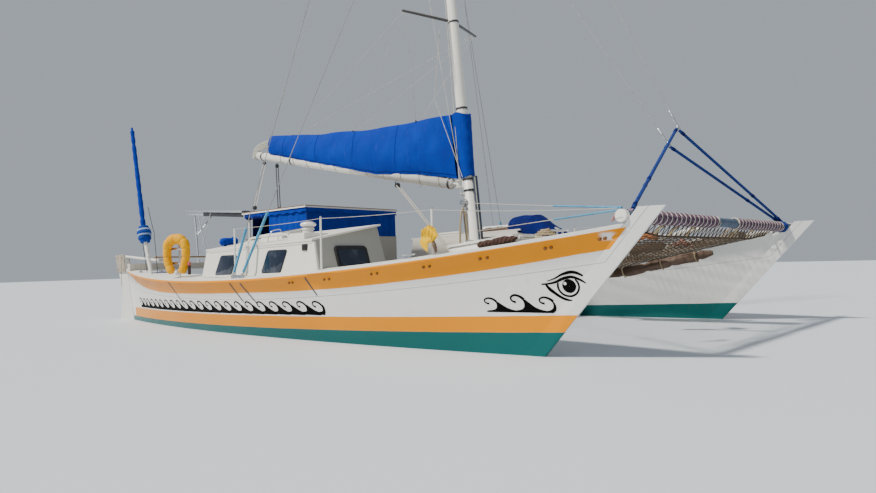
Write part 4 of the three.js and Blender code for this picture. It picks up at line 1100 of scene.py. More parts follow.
# %% Frame nodes that keep their shape
for side in SIDES:
    for node, paint in (
        ("cabin_aft_", CABIN_PAINT), ("cabin_outboard_", CABIN_PAINT), ("cabin_inboard_", CABIN_PAINT),
        # The starboard cabin front's grey is painted shade; the port front keeps the cream
        ("cabin_front_", GREY_PAINT_AND_SHADE if side == "starboard" else CABIN_PAINT), ("cabin_roof_", ROOF_PAINT),
        ("cabin_hatch_", LID_PAINT), ("fore_hatch_", LID_PAINT), ("rudder_", RUDDER_WOOD),
        ("solar_leg_", ALUMINIUM), ("tiller_", SPAR_PAINT),
    ):
        paint_node(node + side, paint)
for name in ("beam_mast", "beam_middle", "beam_aft", "beam_stern"):
    paint_node(name, BEAM_WOOD)
paint_node("pod_walls", GREY_PAINT_AND_SHADE)
paint_node("hardtop", HARDTOP_PAINT)
paint_node("tiller_bar", POLE_WOOD)
print("nodes painted")

# %% [markdown]
# ## Plates and pairs
# Windows, trim and washers are plates on four corners. A plane takes the corners, a bevel
# on its points rounds them, and Solidify gives the plate its thickness. What stands on the
# starboard hull is copied and turned over for the port one, with its faces flipped back.

# %% Plates and pairs
def plate(name, corners, thickness, corner=0.03, edge=0.0015, inset=0.0, sunk=0.0):
    """A plate that grows from its four corners towards the side from which they run anticlockwise."""
    let_go()
    bpy.ops.mesh.primitive_plane_add(size=1)
    piece = named(name)
    for index, place in zip((0, 1, 3, 2), corners):
        piece.data.vertices[index].co = place
    open_mesh(piece)
    bpy.ops.mesh.bevel(offset=corner, segments=6, affect="VERTICES")
    bpy.ops.mesh.select_all(action="SELECT")
    if inset:
        bpy.ops.mesh.inset(thickness=inset)
        bpy.ops.transform.translate(value=-piece.data.polygons[0].normal * sunk)
    let_go()
    shape_with(piece, "SOLIDIFY", thickness=thickness, offset=1.0)
    soften(piece, edge)
    return piece


def pair(piece, material, body="boat"):
    """Dresses a starboard piece and its copy on the port hull."""
    twin = copy_of(piece, piece.name.replace("starboard", "port"))
    for vertex in twin.data.vertices:
        vertex.co.y = -vertex.co.y
    twin.data.flip_normals()
    dress(piece, material, body)
    dress(twin, material, body.replace("starboard", "port"))


print("plates and pairs ready")

# %% [markdown]
# ## Cabin windows
# The side windows are slanted sheets of smoked acrylic, bolted over their openings on a
# thin black bed. The front one is a ready-made window: a fat rubber gasket with rounded
# corners, and the pane sunk in it.

# %% Cabin windows
WALL_FOOT_Z, WALL_TOP_Z = 0.83, 1.4
OUTBOARD = {"foot": -2.96, "top": -2.905}
FRONT = {"foot": 2.2, "top": 2.01}


def lean(line, z):
    return line["foot"] + (line["top"] - line["foot"]) * (z - WALL_FOOT_Z) / (WALL_TOP_Z - WALL_FOOT_Z)


def on_wall(x, z, proud):
    return (x, lean(OUTBOARD, z) - proud, z)


def on_front(y, z, proud):
    return (lean(FRONT, z) + proud, y, z)


def corners_of(spot, foot, head, sill, top, grow, proud):
    """Four corners on a wall, from the window's reach along the wall at its foot and its head."""
    ends = [(foot[0] - grow, sill - grow), (foot[1] + grow, sill - grow)]
    ends += [(head[1] + grow, top + grow), (head[0] - grow, top + grow)]
    return [spot(along, z, proud) for along, z in ends]


SIDE_WINDOWS = [((0.86, 1.31), (1.0, 1.45), 0.925, 1.215), ((-0.45, 0.0), (-0.31, 0.14), 0.905, 1.175)]
for number, window in zip("12", SIDE_WINDOWS):
    bed = corners_of(on_wall, *window, 0.022, 0.001)
    pair(plate("window_bed_starboard_" + number, bed, 0.004, 0.05), RUBBER)
    pane = corners_of(on_wall, *window, 0.013, 0.005)
    pair(plate("window_pane_starboard_" + number, pane, 0.006, 0.045), GLASS)

FRONT_WINDOW = ((-2.57, -2.05), (-2.57, -2.05), 0.975, 1.235)
gasket = corners_of(on_front, *FRONT_WINDOW, 0.03, 0.001)
pair(plate("front_gasket_starboard", gasket, 0.026, 0.07, 0.006, 0.045, 0.014), RUBBER)
pane = corners_of(on_front, *FRONT_WINDOW, -0.022, 0.016)
pair(plate("front_pane_starboard", pane, 0.006, 0.05, 0.002, 0.03, 0.002), GLASS)
corners = [(x, -1.71, z) for x, z in ((1.865, 1.328), (1.135, 1.328), (1.135, 1.462), (1.865, 1.462))]
pair(plate("inboard_pane_starboard", corners, 0.006, 0.03), GLASS)
print("windows:", len([n for n in MADE if "pane" in n]))

# %% [markdown]
# ## Cabin trim
# Cover strips hide the joins of the plywood: along the foot of each wall, up the corners,
# and under the roof's edge. The vents, the roof rail and the hatch's handle are small, but
# their dark slots and bright rims are what the eye finds first on a plain cream wall.

# %% Cabin trim
def roof_at(x, y):
    return 1.275 + 0.0196 * (x + 0.79) + 0.183 * (y + 2.93)


def lid_z(x, y):
    return roof_at(x, y) + 0.119


def strip(name, start, end, width, thick, up=UP, edge=0.004):
    """A batten from start to end: width runs along up, thick across it."""
    a, b = Vector(start), Vector(end)
    along = b - a
    across = along.cross(Vector(up)).normalized()
    half = Vector((along.length, thick, width)) / 2
    piece = block(name, -half, half, edge)
    turn = Matrix((along.normalized(), -across, across.cross(along).normalized())).transposed().to_4x4()
    piece.matrix_world = Matrix.Translation((a + b) / 2) @ turn
    return fix_place(piece)


trims = [
    strip("trim", on_wall(-0.86, 0.868, 0.006), on_wall(2.17, 0.912, 0.006), 0.03, 0.012),
    strip("trim", on_wall(-0.7, 1.262, 0.005), on_wall(2.03, 1.312, 0.005), 0.03, 0.01),
    strip("trim", on_wall(0.43, 0.9, 0.003), on_wall(0.52, 1.27, 0.003), 0.022, 0.006, (1, 0, 0)),
]
pair(join("cabin_battens_starboard", trims), CABIN_PAINT)
corner_foot, corner_head = (2.188, -2.952, 0.9), (2.054, -2.91, 1.315)
corner = strip("corner_batten_starboard", corner_foot, corner_head, 0.045, 0.045, (1, 0, 0), 0.014)
pair(corner, CABIN_PAINT)

VENT = {"x": (1.817, 1.926), "z": (1.205, 1.29)}
(aft, fore), (low, high) = VENT["x"], VENT["z"]
face_y = lean(OUTBOARD, low) - 0.016
louvres = [block("louvre", (aft, face_y, low), (fore, lean(OUTBOARD, high) + 0.004, high), 0.006)]
for k in range(4):
    z = low + 0.016 + 0.018 * k
    ends = [(x, face_y - 0.003, z) for x in (aft + 0.012, fore - 0.012)]
    louvres.append(strip("louvre", *ends, 0.006, 0.012))
pair(join("wall_vent_starboard", louvres), DARK_PLASTIC)

COWL = (1.62, -2.68, 1.452)
cowl_profile = [
    (0.0, 0.0), (0.085, 0.0), (0.085, 0.02), (0.07, 0.03), (0.066, 0.09), (0.104, 0.104), (0.112, 0.122),
    (0.1, 0.142), (0.06, 0.158), (0.0, 0.164),
]
pair(turned("cowl_starboard", cowl_profile, COWL), WHITE_PLASTIC)
slot_profile = [(0.066, 0.05), (0.0715, 0.052), (0.0715, 0.088), (0.066, 0.09)]
pair(turned("cowl_slot_starboard", slot_profile, COWL), DARK_PLASTIC)

RAIL_Y = -2.75
# Along the roof, height over it
RAIL = [
    (0.17, 0.022), (0.21, 0.0898), (0.32, 0.1146), (0.75, 0.115), (1.14, 0.115), (1.23, 0.09), (1.27, 0.022)
]
rail = [rope("rail", line_through([(x, RAIL_Y, roof_at(x, RAIL_Y) + up) for x, up in RAIL], 40), 0.0145, 10)]
for x in (0.45, 0.72, 0.98):
    z = roof_at(x, RAIL_Y)
    rail.append(rod("rail", (x, RAIL_Y, z + 0.02), (x, RAIL_Y, z + 0.118), 0.011, sides=10))
pair(join("roof_rail_starboard", rail), SPAR_PAINT)

marks = [(-0.05, -2.2, -0.002), (-0.055, -2.17, 0.035), (-0.055, -2.03, 0.035), (-0.05, -2.0, -0.002)]
marks = [(x, y, lid_z(-0.05, y) + up) for x, y, up in marks]
pair(rope("cabin_lid_handle_starboard", line_through(marks, 24), 0.008), STAINLESS, "cabin_lid_starboard")
corners = ((0.02, -2.28), (0.42, -2.28), (0.42, -1.92), (0.02, -1.92))
corners = [(x, y, lid_z(x, y) - 0.0005) for x, y in corners]
pair(plate("cabin_lid_pane_starboard", corners, 0.006, 0.04), GLASS, "cabin_lid_starboard")
print("trim done:", len(MADE), "pieces")

# %% [markdown]
# ## Foredecks
# Each foredeck has its raised hatch with a handle, two mooring cleats beside it and one
# ahead of it, and a chain of bolt heads along the orange strake, where the beams' pads
# are fastened through the hull.

# %% Foredeck gear and bolts
def cleat(name, x, y, z):
    horn = [(x + dx, y, z + up) for dx, up in ((-0.11, 0.052), (-0.05, 0.044), (0.05, 0.044), (0.11, 0.052))]
    parts = [rope(name, line_through(horn, 16), [0.008] + [0.012] * 14 + [0.008], 10)]
    for dx in (-0.032, 0.032):
        parts.append(rod(name, (x + dx, y, z - 0.004), (x + dx, y, z + 0.044), 0.015, 0.01, 12))
    parts.append(block(name, (x - 0.06, y - 0.022, z - 0.006), (x + 0.06, y + 0.022, z + 0.004), 0.003))
    return join(name, parts)


def deck_at(x, off):
    """Height of the hull's own deck, off metres inboard or outboard of its middle."""
    return HULL_SKIN["starboard"].ray_cast(Vector((x, -HULL_Y + off, 3)), -UP)[0].z


for number, (x, off) in enumerate(((3.72, -0.36), (3.72, 0.36), (5.55, 0.0), (-3.9, -0.2), (-3.9, 0.2)), 1):
    pair(cleat("cleat_starboard_" + str(number), x, -HULL_Y + off, deck_at(x, off)), STAINLESS)

fore_lid = ray_target(NODES["fore_hatch_starboard"].data)


def fore_lid_at(x, y):
    return fore_lid.ray_cast(Vector((x, y, 3)), -UP)[0].z


lid_x = 4.36
marks = ((0, -0.1, -0.002), (-0.004, -0.075, 0.036), (-0.004, 0.075, 0.036), (0, 0.1, -0.002))
marks = [(lid_x + dx, dy - HULL_Y, fore_lid_at(lid_x, -HULL_Y) + up) for dx, dy, up in marks]
pair(rope("fore_lid_handle_starboard", line_through(marks, 24), 0.008), STAINLESS, "fore_lid_starboard")
corners = [(x, dy - HULL_Y) for x, dy in ((4.46, -0.17), (5.02, -0.17), (5.02, 0.17), (4.46, 0.17))]
corners = [(x, y, fore_lid_at(x, y)) for x, y in corners]
pair(plate("fore_lid_panel_starboard", corners, 0.005, 0.03), ROOF_PAINT, "fore_lid_starboard")

BOLT_X = [1.8, 1.87, 2.5, 2.59, 3.31, 3.4, 4.08, 4.16, 4.8, 4.885, 5.52, 5.58, 6.055, 6.105]
BOLT_DROP = 0.105
bolt_profile = [(0.0, 0.009), (0.009, 0.009), (0.013, 0.005), (0.013, 0.002), (0.021, 0.002), (0.021, -0.002),
                (0.0, -0.002)]
bolt = turned("bolt", bolt_profile, (0, 0, 0), steps=10)
for side, sign in SIDES.items():
    heads = []
    for x in BOLT_X:
        head = copy_of(bolt, "bolt_head")
        head.rotation_euler = Vector((0.12, sign, 0.1)).to_track_quat("Z", "Y").to_euler()
        head.location = on_skin(side, x, sheer_at(x) - BOLT_DROP)
        heads.append(fix_place(head))
    gear("strake_bolts_" + side, heads, BRONZE)
bpy.data.objects.remove(bolt)

# Dark streaks slanting down each hull side: painted shadow, laid as strokes in the dark metal finish
SHADOW_STREAKS = [
    ((-1.793, 0.8), (-1.431, 0.464)), ((0.344, 0.775), (0.584, 0.509)),
    ((0.634, 0.775), (0.925, 0.474)), ((2.142, 0.85), (2.274, 0.618)),
]
for side in SIDES:
    bands = [
        stroke(side, [(x0, z0), ((x0 + x1) / 2, (z0 + z1) / 2), (x1, z1)], [0.03, 0.027, 0.022], 24)
        for (x0, z0), (x1, z1) in SHADOW_STREAKS
    ]
    painted("painted_shadow_streaks_" + side, side, bands, DARK_METAL_AND_SHADOW)
print("foredeck gear done")

# %% [markdown]
# ## Deck shelter
# A flat hardtop on four posts covers the middle of the deck, with blue curtains laced
# under it. Its top carries a worn varnished edge, and its curtains hang in soft pleats: a
# grid whose points follow a sum of two slow waves, deeper at the foot than at the rail.

# %% Hardtop
LOW_X, HIGH_X, EDGE_Y = -2.72, -0.6, 1.124


def level_strip(start, end, z, width, thick, edge=0.004):
    return strip("strip", (*start, z), (*end, z), width, thick, edge=edge)


edges = [
    level_strip((LOW_X + 0.01, y), (HIGH_X - 0.01, y), 2.09, 0.016, 0.022, 0.005) for y in (-EDGE_Y, EDGE_Y)
]
edges += [
    level_strip((x, -EDGE_Y), (x, EDGE_Y), 2.09, 0.016, 0.022, 0.005) for x in (HIGH_X - 0.006, LOW_X + 0.006)
]
gear("hardtop_edge", edges, BROWN_TRIM)
ribs = [
    level_strip((LOW_X + 0.05, y), (HIGH_X - 0.05, y), 2.046, 0.022, 0.05) for y in (-0.7, -0.25, 0.25, 0.7)
]
gear("hardtop_ribs", ribs, CABIN_PAINT)
caps = [level_strip((-2.64, y), (-0.62, y), 1.556, 0.012, 0.045) for y in (-1.088, 1.088)]
gear("pod_caps", caps, BROWN_TRIM)
print("hardtop trimmed")

# %% [markdown]
# The size a cloth was cut to is its own area, so each sheet is measured after it is
# pleated, and declared with that flat width. The aft curtain is a dark navy sheet hung as
# painted shade: it makes the shelter's inside read as shade from the beam.

# %% Curtains
def cloth_area(piece):
    return sum(face.area for face in piece.data.polygons) / 2


def hang(piece, height, rests_on):
    """Declares a thin hanging cloth: its flat width follows from its area and its height."""
    width = cloth_area(piece) / height
    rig.sheet(piece, flat=(width, height), held="hung", rests_on=rests_on)
    print(piece.name, "cut", round(width, 2), "by", round(height, 2), "m")


CURTAIN_FOOT, CURTAIN_HEAD = 1.553, 2.05


def pleated(name, start, end, out, pleats, depth, stands_for=(), material=BLUE_CANVAS):
    """A curtain from start to end in plan, whose pleats stand towards out."""
    def place(u, v):
        fall = 1 - v
        folds = sin(2 * pi * pleats * u + 0.7 * sin(5 * u + 1.3 * fall))
        slow = sin(2 * pi * pleats * 0.37 * u + 2.1)
        fold = depth * (0.35 + 0.65 * fall) * (0.7 * folds + 0.5 * slow)
        sag = -0.006 * abs(sin(pi * pleats * 0.5 * u)) * fall
        x, y = Vector(start).lerp(Vector(end), u) + Vector(out) * fold
        return (x, y, CURTAIN_FOOT + (CURTAIN_HEAD - CURTAIN_FOOT) * v + sag * v)

    piece = sheet(name, pleats * 12, 14, place, 0.0025)
    dress(piece, material, stands_for=stands_for, angle=80)
    hang(piece, CURTAIN_HEAD - CURTAIN_FOOT, ["hardtop"])


pleated("front_curtain", (-0.611, -1.085), (-0.611, 1.085), (1, 0), 13, 0.013, ["curtain_front"])
pleated("starboard_curtain", (-1.82, -1.078), (-0.64, -1.078), (0, -1), 7, 0.012, ["curtain_starboard"])
pleated("port_curtain", (-2.63, 1.078), (-0.64, 1.078), (0, 1), 11, 0.012, ["curtain_port"])
# A dark navy curtain across the shelter's aft end: painted shade for its inside
pleated("aft_curtain", (-2.665, -0.92), (-2.665, 0.98), (-1, 0), 11, 0.01, material=NAVY_CANVAS)


def valance(name, hem, scallop, scallops, spot):
    """A short frill; spot turns its share of the length and its bulge into x and y."""
    def place(u, v):
        drop = (hem + scallop * sin(2 * pi * scallops * u)) * (1 - v)
        return (*spot(u, 0.004 * sin(2 * pi * 9 * u) * (1 - v)), 2.052 - drop)

    hang(dress(sheet(name, 90, 4, place, 0.0025), BLUE_CANVAS, angle=80), hem, ["hardtop"])


valance("starboard_valance", 0.07, 0.012, 8, lambda u, bulge: (-2.66 + 2.06 * u, -1.108 - bulge))
valance("front_valance", 0.078, 0.01, 7, lambda u, bulge: (-0.5885 + bulge, -1.1 + 2.2 * u))

# %% [markdown]
# The aft third of the starboard side is open, with its curtain rolled up under the
# hardtop's edge and tied. A roll reads as cloth when its radius varies and two ties pinch
# it. Inside stand a helm seat and a chart locker, mostly in the dark.

# %% Rolled curtain and the inside
roll_path = line_through([(-2.62, -1.07, 1.995), (-2.25, -1.07, 1.985), (-1.86, -1.07, 1.998)], 46)
roll_width = []
for k in range(46):
    tie = min(abs(k - 12), abs(k - 34))
    roll_width.append(0.046 - 0.017 * exp(-(tie / 1.6) ** 2) + 0.004 * sin(k * 1.1))
roll = rope("rolled_curtain", roll_path, roll_width, 16)
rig.padded(dress(roll, NAVY_CANVAS, angle=80), fill=0.5)
ties = [rope("tie", circle((x, -1.07, 1.99), 0.034, (0, 1, 0), UP, 20), 0.004, 6) for x in (-2.42, -2.06)]
gear("roll_ties", ties, WHITE_ROPE)


def cushion(name, low, high):
    """A crowned pad: a block whose sides are pulled in, smoothed by subdivision."""
    piece = block(name, low, high, 0)
    open_mesh(piece)
    bpy.ops.mesh.subdivide(number_cuts=5)
    let_go()
    middle, half = (Vector(low) + Vector(high)) / 2, (Vector(high) - Vector(low)) / 2
    for vertex in piece.data.vertices:
        share = [(vertex.co[i] - middle[i]) / half[i] for i in range(3)]
        crown = (1 - share[0] ** 4) * (1 - share[1] ** 4)
        vertex.co.z = middle.z + half.z * share[2] * (0.55 + 0.45 * crown)
    shape_with(piece, "SUBSURF", levels=2, render_levels=2)
    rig.padded(dress(piece, NAVY_CANVAS, angle=70), fill=0.7)


cushion("helm_cushion", (-2.28, -0.96, 1.332), (-1.37, -0.44, 1.41))
cushion("port_cushion", (-2.33, 0.47, 1.282), (-0.77, 1.0, 1.36))
for name, low, high, edge in (
    ("helm_seat", (-2.3, -0.98, 0.912), (-1.35, -0.42, 1.33), 0.015),
    ("chart_locker", (-0.98, -0.95, 0.912), (-0.66, 0.35, 1.5), 0.012),
    ("port_bench", (-2.35, 0.45, 0.912), (-0.75, 1.02, 1.28), 0.015),
):
    dress(block(name, low, high, edge), CABIN_PAINT)
hub = Vector((-1.05, -0.35, 1.42))
wheel = [rope("wheel", circle(hub, 0.2, (0, 1, 0), UP, 36), 0.013)]
for k in range(3):
    spoke = Vector((0, cos(pi * k / 3 + 0.3), sin(pi * k / 3 + 0.3))) * 0.2
    wheel.append(rod("wheel", hub - spoke, hub + spoke, 0.009, sides=10))
wheel.append(rod("wheel", (-1.07, -0.35, 1.42), (-0.97, -0.35, 1.42), 0.032, sides=18, edge=0.004))
gear("helm_wheel", wheel, STAINLESS)
print("shelter done")

# %% [markdown]
# ## Solar panels
# Behind the hardtop a rack of solar panels slopes up over the stern. Cells are a pattern
# on Object coordinates: thin silver lines every 156 mm over near-black silicon, with
# fainter lines between them.

# %% Solar panels
def solar_finish():
    m = finish("solar_cells", "solar", 0.12, Coat_Weight=0.8, Coat_Roughness=0.04)
    lines = []
    for way in apart(places(m))[:2]:
        lines.append(between(way.math("PINGPONG", 0.078), 0.0032, 0.0012))
        lines.append(between(way.math("PINGPONG", 0.026), 0.0012, 0.0004) * 0.35)
    grid = lines[0]
    for line in lines[1:]:
        grid = grid.math("MAXIMUM", line)
    cell = tint(m, cloudy(m, 0.16, 2), (0.008, 0.01, 0.022), (0.016, 0.022, 0.05))
    into(m, "Base Color", tint(m, grid, cell, (0.32, 0.33, 0.34)))
    dented(grid, 0.0004, 0.4)
    return m


paint_node("solar_panel", solar_finish())
SOLAR = {"aft": (-5.15, 2.33), "fore": (-2.7203, 2.142)}


def solar_at(x, under=0.0):
    (aft, aft_z), (fore, fore_z) = SOLAR["aft"], SOLAR["fore"]
    return fore_z + (aft_z - fore_z) * (fore - x) / (fore - aft) - under


def sloped(aft, fore, y, under, width, thick, edge=0.004):
    """A bar that follows the rack's slope, under it."""
    ends = [(x, y, solar_at(x, under)) for x in (aft, fore)]
    return strip("bar", *ends, width, thick, edge=edge)


rims = [sloped(-5.148, -2.75, y, 0.016, 0.048, 0.036, 0.003) for y in (-1.1, -0.37, 0.37, 1.1)]
rims += [
    level_strip((x, -1.1), (x, 1.1), solar_at(x, 0.016), 0.047, 0.034, 0.003) for x in (-5.135, -3.55, -2.76)
]
gear("solar_frames", rims, ALUMINIUM)
for name, aft, fore, y, under, width, thick, material in (
    ("solar_rails", -5.1, -2.76, 0.9, 0.058, 0.04, 0.04, ALUMINIUM),
    ("solar_gutters", -5.13, -4.36, 1.085, 0.075, 0.07, 0.02, ALUMINIUM),
    ("solar_skirts", -4.35, -2.76, 1.085, 0.085, 0.09, 0.02, DARK_METAL_AND_SHADOW),
):
    gear(name, [sloped(aft, fore, y * sign, under, width, thick) for sign in (-1, 1)], material)
LEG_X = -4.55
braces = []
for y in (-1.12, 1.12):
    for start, end, radius, sides, edge in (
        ((0.01, y, 1.2), (0.52, y * 0.98, solar_at(-4.03, 0.06)), 0.01, 10, 0),
        ((0.4, y, 1.16), (0.02, y, solar_at(-4.53, 0.1)), 0.01, 10, 0),
        ((0, y, 1.75), (0, y * 0.66, solar_at(LEG_X, 0.05)), 0.012, 10, 0),
        ((0.4, y, 1.13), (0.4, y, 1.17), 0.024, 12, 0),
        ((0, y, 1.133), (0, y, 1.175), 0.036, 16, 0.003),
    ):
        leg = Vector((LEG_X, 0, 0))
        braces.append(rod("brace", leg + Vector(start), leg + Vector(end), radius, sides=sides, edge=edge))
    braces.append(level_strip((LEG_X, y), (LEG_X + 0.46, y), 1.142, 0.02, 0.05))
gear("solar_braces", braces, ALUMINIUM)
print("solar rack done")

# %% [markdown]
# ## Starboard quarter
# The horseshoe lifebuoy is foam in a yellow cover, sewn from short lengths: its section
# swells between seams. It is made as a tube along half an ellipse, with the seams pinched
# in, and rides on a bracket and a white post.

# %% Lifebuoy
BUOY = {"at": Vector((-1.75, -2.96, 1.235)), "high": 0.74, "wide": 0.5, "tube": 0.058}
BUOY_TURN = Matrix.Rotation(radians(-66), 3, "Z")


def buoy_spot(out, across, up):
    return BUOY["at"] + BUOY_TURN @ Vector((out, across, up))


bend = BUOY["wide"] / 2 - BUOY["tube"]
rise = BUOY["high"] / 2 - BUOY["tube"] - bend
foot = 0.062 - BUOY["high"] / 2
marks = [(-bend * 0.5, foot), (-bend * 0.86, -rise * 1.3), (-bend, -rise * 0.2), (-bend, rise * 0.6)]
for k in range(7):
    angle = pi - pi * k / 6
    marks.append((bend * cos(angle), rise + 0.84 * bend * sin(angle)))
marks += [(-a, b) for a, b in reversed(marks[:4])]
hoop = line_through([buoy_spot(0, a, b) for a, b in marks], 121)
SEAM_EVERY = 12
swell = []
for k in range(121):
    to_seam = abs((k + SEAM_EVERY / 2) % SEAM_EVERY - SEAM_EVERY / 2)
    pinch = 0.01 * exp(-(to_seam / 0.9) ** 2)
    round_end = sqrt(max(1 - (1 - min(k / 5, (120 - k) / 5, 1)) ** 2, 0.04))
    swell.append((0.064 - pinch) * (1.06 + 0.36 * exp(-(((k - 60) / 20) ** 2))) * round_end)
buoy = rope("lifebuoy_cover", hoop, swell, 22)
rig.padded(dress(buoy, BUOY_COVER, stands_for=["lifebuoy"], angle=70), fill=0.9)

POST_OUT, BAR_OUT = -0.0764, -0.0664
post = [rod("post", buoy_spot(POST_OUT, 0, -0.49), buoy_spot(POST_OUT, 0, 0.25), 0.016, sides=14, edge=0.003)]
for up in (0.117, -0.13):
    post.append(strip("post", buoy_spot(BAR_OUT, -0.2, up), buoy_spot(BAR_OUT, 0.2, up), 0.04, 0.012))
gear("lifebuoy_post", post, STAINLESS)
lamp = [(0.0, 0.0), (0.03, 0.0), (0.036, 0.012), (0.036, 0.06), (0.028, 0.074), (0.0, 0.078)]
dress(turned("buoy_light", lamp, buoy_spot(0.02, 0.01, -0.335)), WHITE_PLASTIC)
bands = []
for k in (26, 60, 94):
    ahead = (hoop[k + 1] - hoop[k - 1]).normalized()
    side_way = ahead.orthogonal().normalized()
    bands.append(rope("band", circle(hoop[k], 0.0655, side_way, ahead.cross(side_way), 24), 0.004, 6))
gear("buoy_lashings", bands, TAN_ROPE)

FLARE = (-1.5, -2.86, 0.905)
flare = turned("flare_tube", [(0.0, 0.0), (0.023, 0.0), (0.026, 0.01), (0.026, 0.155), (0.0, 0.158)], FLARE)
dress(flare, plain_paint("dark_brown_plastic", "buoy_foam", (0.035, 0.016, 0.014), 0.4, amount=0.4))
cap_profile = [(0.0, 0.158), (0.029, 0.158), (0.029, 0.205), (0.02, 0.216), (0.0, 0.218)]
flare = turned("flare_cap", cap_profile, FLARE)
dress(flare, plain_paint("faded_red_plastic", "buoy_foam", (0.46, 0.1, 0.09), 0.4, amount=0.4))
print("lifebuoy and flare tube done")

# %% [markdown]
# The staff on the quarter carries a rolled flag in a blue sleeve. Below it a bundle of
# lashings makes a ball round the joint with its white post.

# %% Staff
STAFF_FOOT, KNEE, STAFF_TOP = [
    Vector((x, -2.72, z)) for x, z in ((-3.26, 0.86), (-3.54, 1.6), (-4.06, 3.81))
]
staff_axis = (STAFF_TOP - KNEE).normalized()
post = [
    rod("post", STAFF_FOOT, KNEE + (KNEE - STAFF_FOOT) * 0.05, 0.034),
    rod("post", STAFF_FOOT.lerp(KNEE, 0.52), STAFF_FOOT.lerp(KNEE, 0.56), 0.04, edge=0.004),
    rod("post", STAFF_FOOT, STAFF_FOOT + UP * 0.02, 0.07, edge=0.004),
]
gear("staff_post", post, SPAR_PAINT, stands_for=["stern_staff"])

marks = [KNEE + Vector((0.012, 0, -0.06)), KNEE.lerp(STAFF_TOP, 0.35), KNEE.lerp(STAFF_TOP, 0.7), STAFF_TOP]
sleeve_width = []
for k in range(90):
    tie = min(abs(k - j) for j in (18, 38, 58, 76))
    width = 0.047 - 0.011 * k / 89 - 0.008 * exp(-(tie / 1.3) ** 2) + 0.0025 * sin(k * 0.9)
    sleeve_width.append(width * (1 if k < 87 else 0.55))
sleeve = rope("staff_sleeve", line_through(marks, 90), sleeve_width, 16)
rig.padded(dress(sleeve, BLUE_CANVAS, angle=80), fill=0.6)

ROYAL_ROPE = cordage("royal_blue_rope", (0.012, 0.085, 0.46), (0.005, 0.03, 0.2), lay=0.03)
PALE_ROPE = cordage("pale_blue_rope", (0.42, 0.56, 0.78), (0.16, 0.26, 0.5), lay=0.03)
# Height on the staff, radius, turns
BALL = [
    (-0.045, 0.08, 3), (0.015, 0.108, 3), (0.07, 0.118, 2),
    (0.115, 0.122, 3), (0.17, 0.114, 2), (0.215, 0.085, 3),
]
side_way = staff_axis.orthogonal().normalized()
other = staff_axis.cross(side_way)
for number, (up, radius, turns) in enumerate(BALL, 1):
    count = 18 * turns
    coil = []
    for k in range(count + 1):
        angle = 2 * pi * k / 18
        reach = radius - 0.008 * abs(2 * k / count - 1)
        spot = KNEE + staff_axis * (up + 0.016 * turns * (k / count - 0.5))
        coil.append(spot + reach * (cos(angle) * side_way + sin(angle) * other))
    dress(rope("staff_lashing_" + str(number), coil, 0.0135), PALE_ROPE if number in (3, 5) else ROYAL_ROPE)
core = line_through([KNEE + staff_axis * d for d in (-0.07, -0.02, 0.07, 0.16, 0.24)], 22)
core_width = [0.05, 0.075, 0.09] + [0.102] * 14 + [0.095, 0.085, 0.075, 0.065, 0.05]
dress(rope("staff_bundle", core, core_width, 14), BLUE_CANVAS)
halyards = [
    rope("halyard", hanging(start, end, sag), 0.0055, 6)
    for start, end, sag in (
        ((-3.43, -2.7, 2.2), (-3.14, -2.72, 1.7), 0.02),
        ((-3.14, -2.72, 1.7), (-3.1, -2.68, 0.93), 0.0),
        (KNEE + Vector((-0.07, -0.02, -0.02)), (-3.6, -2.66, 0.95), 0.0),
    )
]
gear("staff_halyards", halyards, DARK_ROPE)
print("staff done")

# %% [markdown]
# ## Rudders and tillers
# The blades keep the frame's shape under worn paint. Grey bare timber cheeks clasp each
# head, through-bolted, and the white tillers run forward over the stern beam. The cheeks
# and the tillers' grips ride on their rudders, so that they turn with them.

# %% Rudders and tillers
for side, sign in SIDES.items():
    body = "rudder_" + side
    y = sign * HULL_Y
    cheeks = []
    for across in (-0.054, 0.054):
        piece = sheet("cheek", 1, 1, lambda u, v: (0, 0, 0))
        outline = [(-5.5, 1.335), (-5.085, 1.335), (-5.395, 0.975), (-4.985, 0.975)]
        for vertex, (px, pz) in zip(piece.data.vertices, outline):
            vertex.co = (px, y + across, pz)
        shape_with(piece, "SOLIDIFY", thickness=0.018, offset=0.0)
        cheeks.append(shape_with(piece, "BEVEL", width=0.005, segments=2))
    gear("rudder_cheeks_" + side, cheeks, HEAD_WOOD, body)
    bolts = [
        rod("bolt", (px, y - 0.069, pz), (px, y + 0.069, pz), 0.014, sides=6, edge=0.002)
        for px, pz in ((-5.4, 1.27), (-5.16, 1.27), (-5.34, 1.03), (-5.07, 1.03))
    ]
    gear("rudder_bolts_" + side, bolts, BRONZE, body)
    line = [(-3.66 + 0.26 * k / 40, y, 1.1896 - 0.0196 * k / 40) for k in range(41)]
    width = [0.0275 + 0.001 * (k % 2) for k in range(41)]
    dress(rope("tiller_grip_" + side, line, width, 14), WHITE_ROPE, body)
print("rudders done")

# %% [markdown]
# ## Mast and boom
# The spars keep the frame's shape: a copy of each node is welded, so that smoothing by
# angle rounds its facets, and takes its place. The mast leans aft by 90 mm a metre, which
# `mast_spot` works out for every fitting. Its spreaders are dark, by their distance from
# the middle.

# %% Spars
MAST = {"x": 2.36, "z": 1.5, "rake": -0.09}
BOOM = {"pin": (2.0598, 2.2694), "end": (-3.86, 3.5), "radius": 0.092}


def mast_x(z):
    return MAST["x"] + MAST["rake"] * (z - MAST["z"])


def mast_spot(z, angle=0.0, radius=0.0):
    """A place at that height, angle from ahead, and distance from the mast's axis."""
    out = radius * cos(angle)
    return Vector((mast_x(z) + out, radius * sin(angle), z + 0.09 * out))


def boom_z(x):
    (pin_x, pin_z), (end_x, end_z) = BOOM["pin"], BOOM["end"]
    return pin_z + (end_z - pin_z) * (pin_x - x) / (pin_x - end_x)


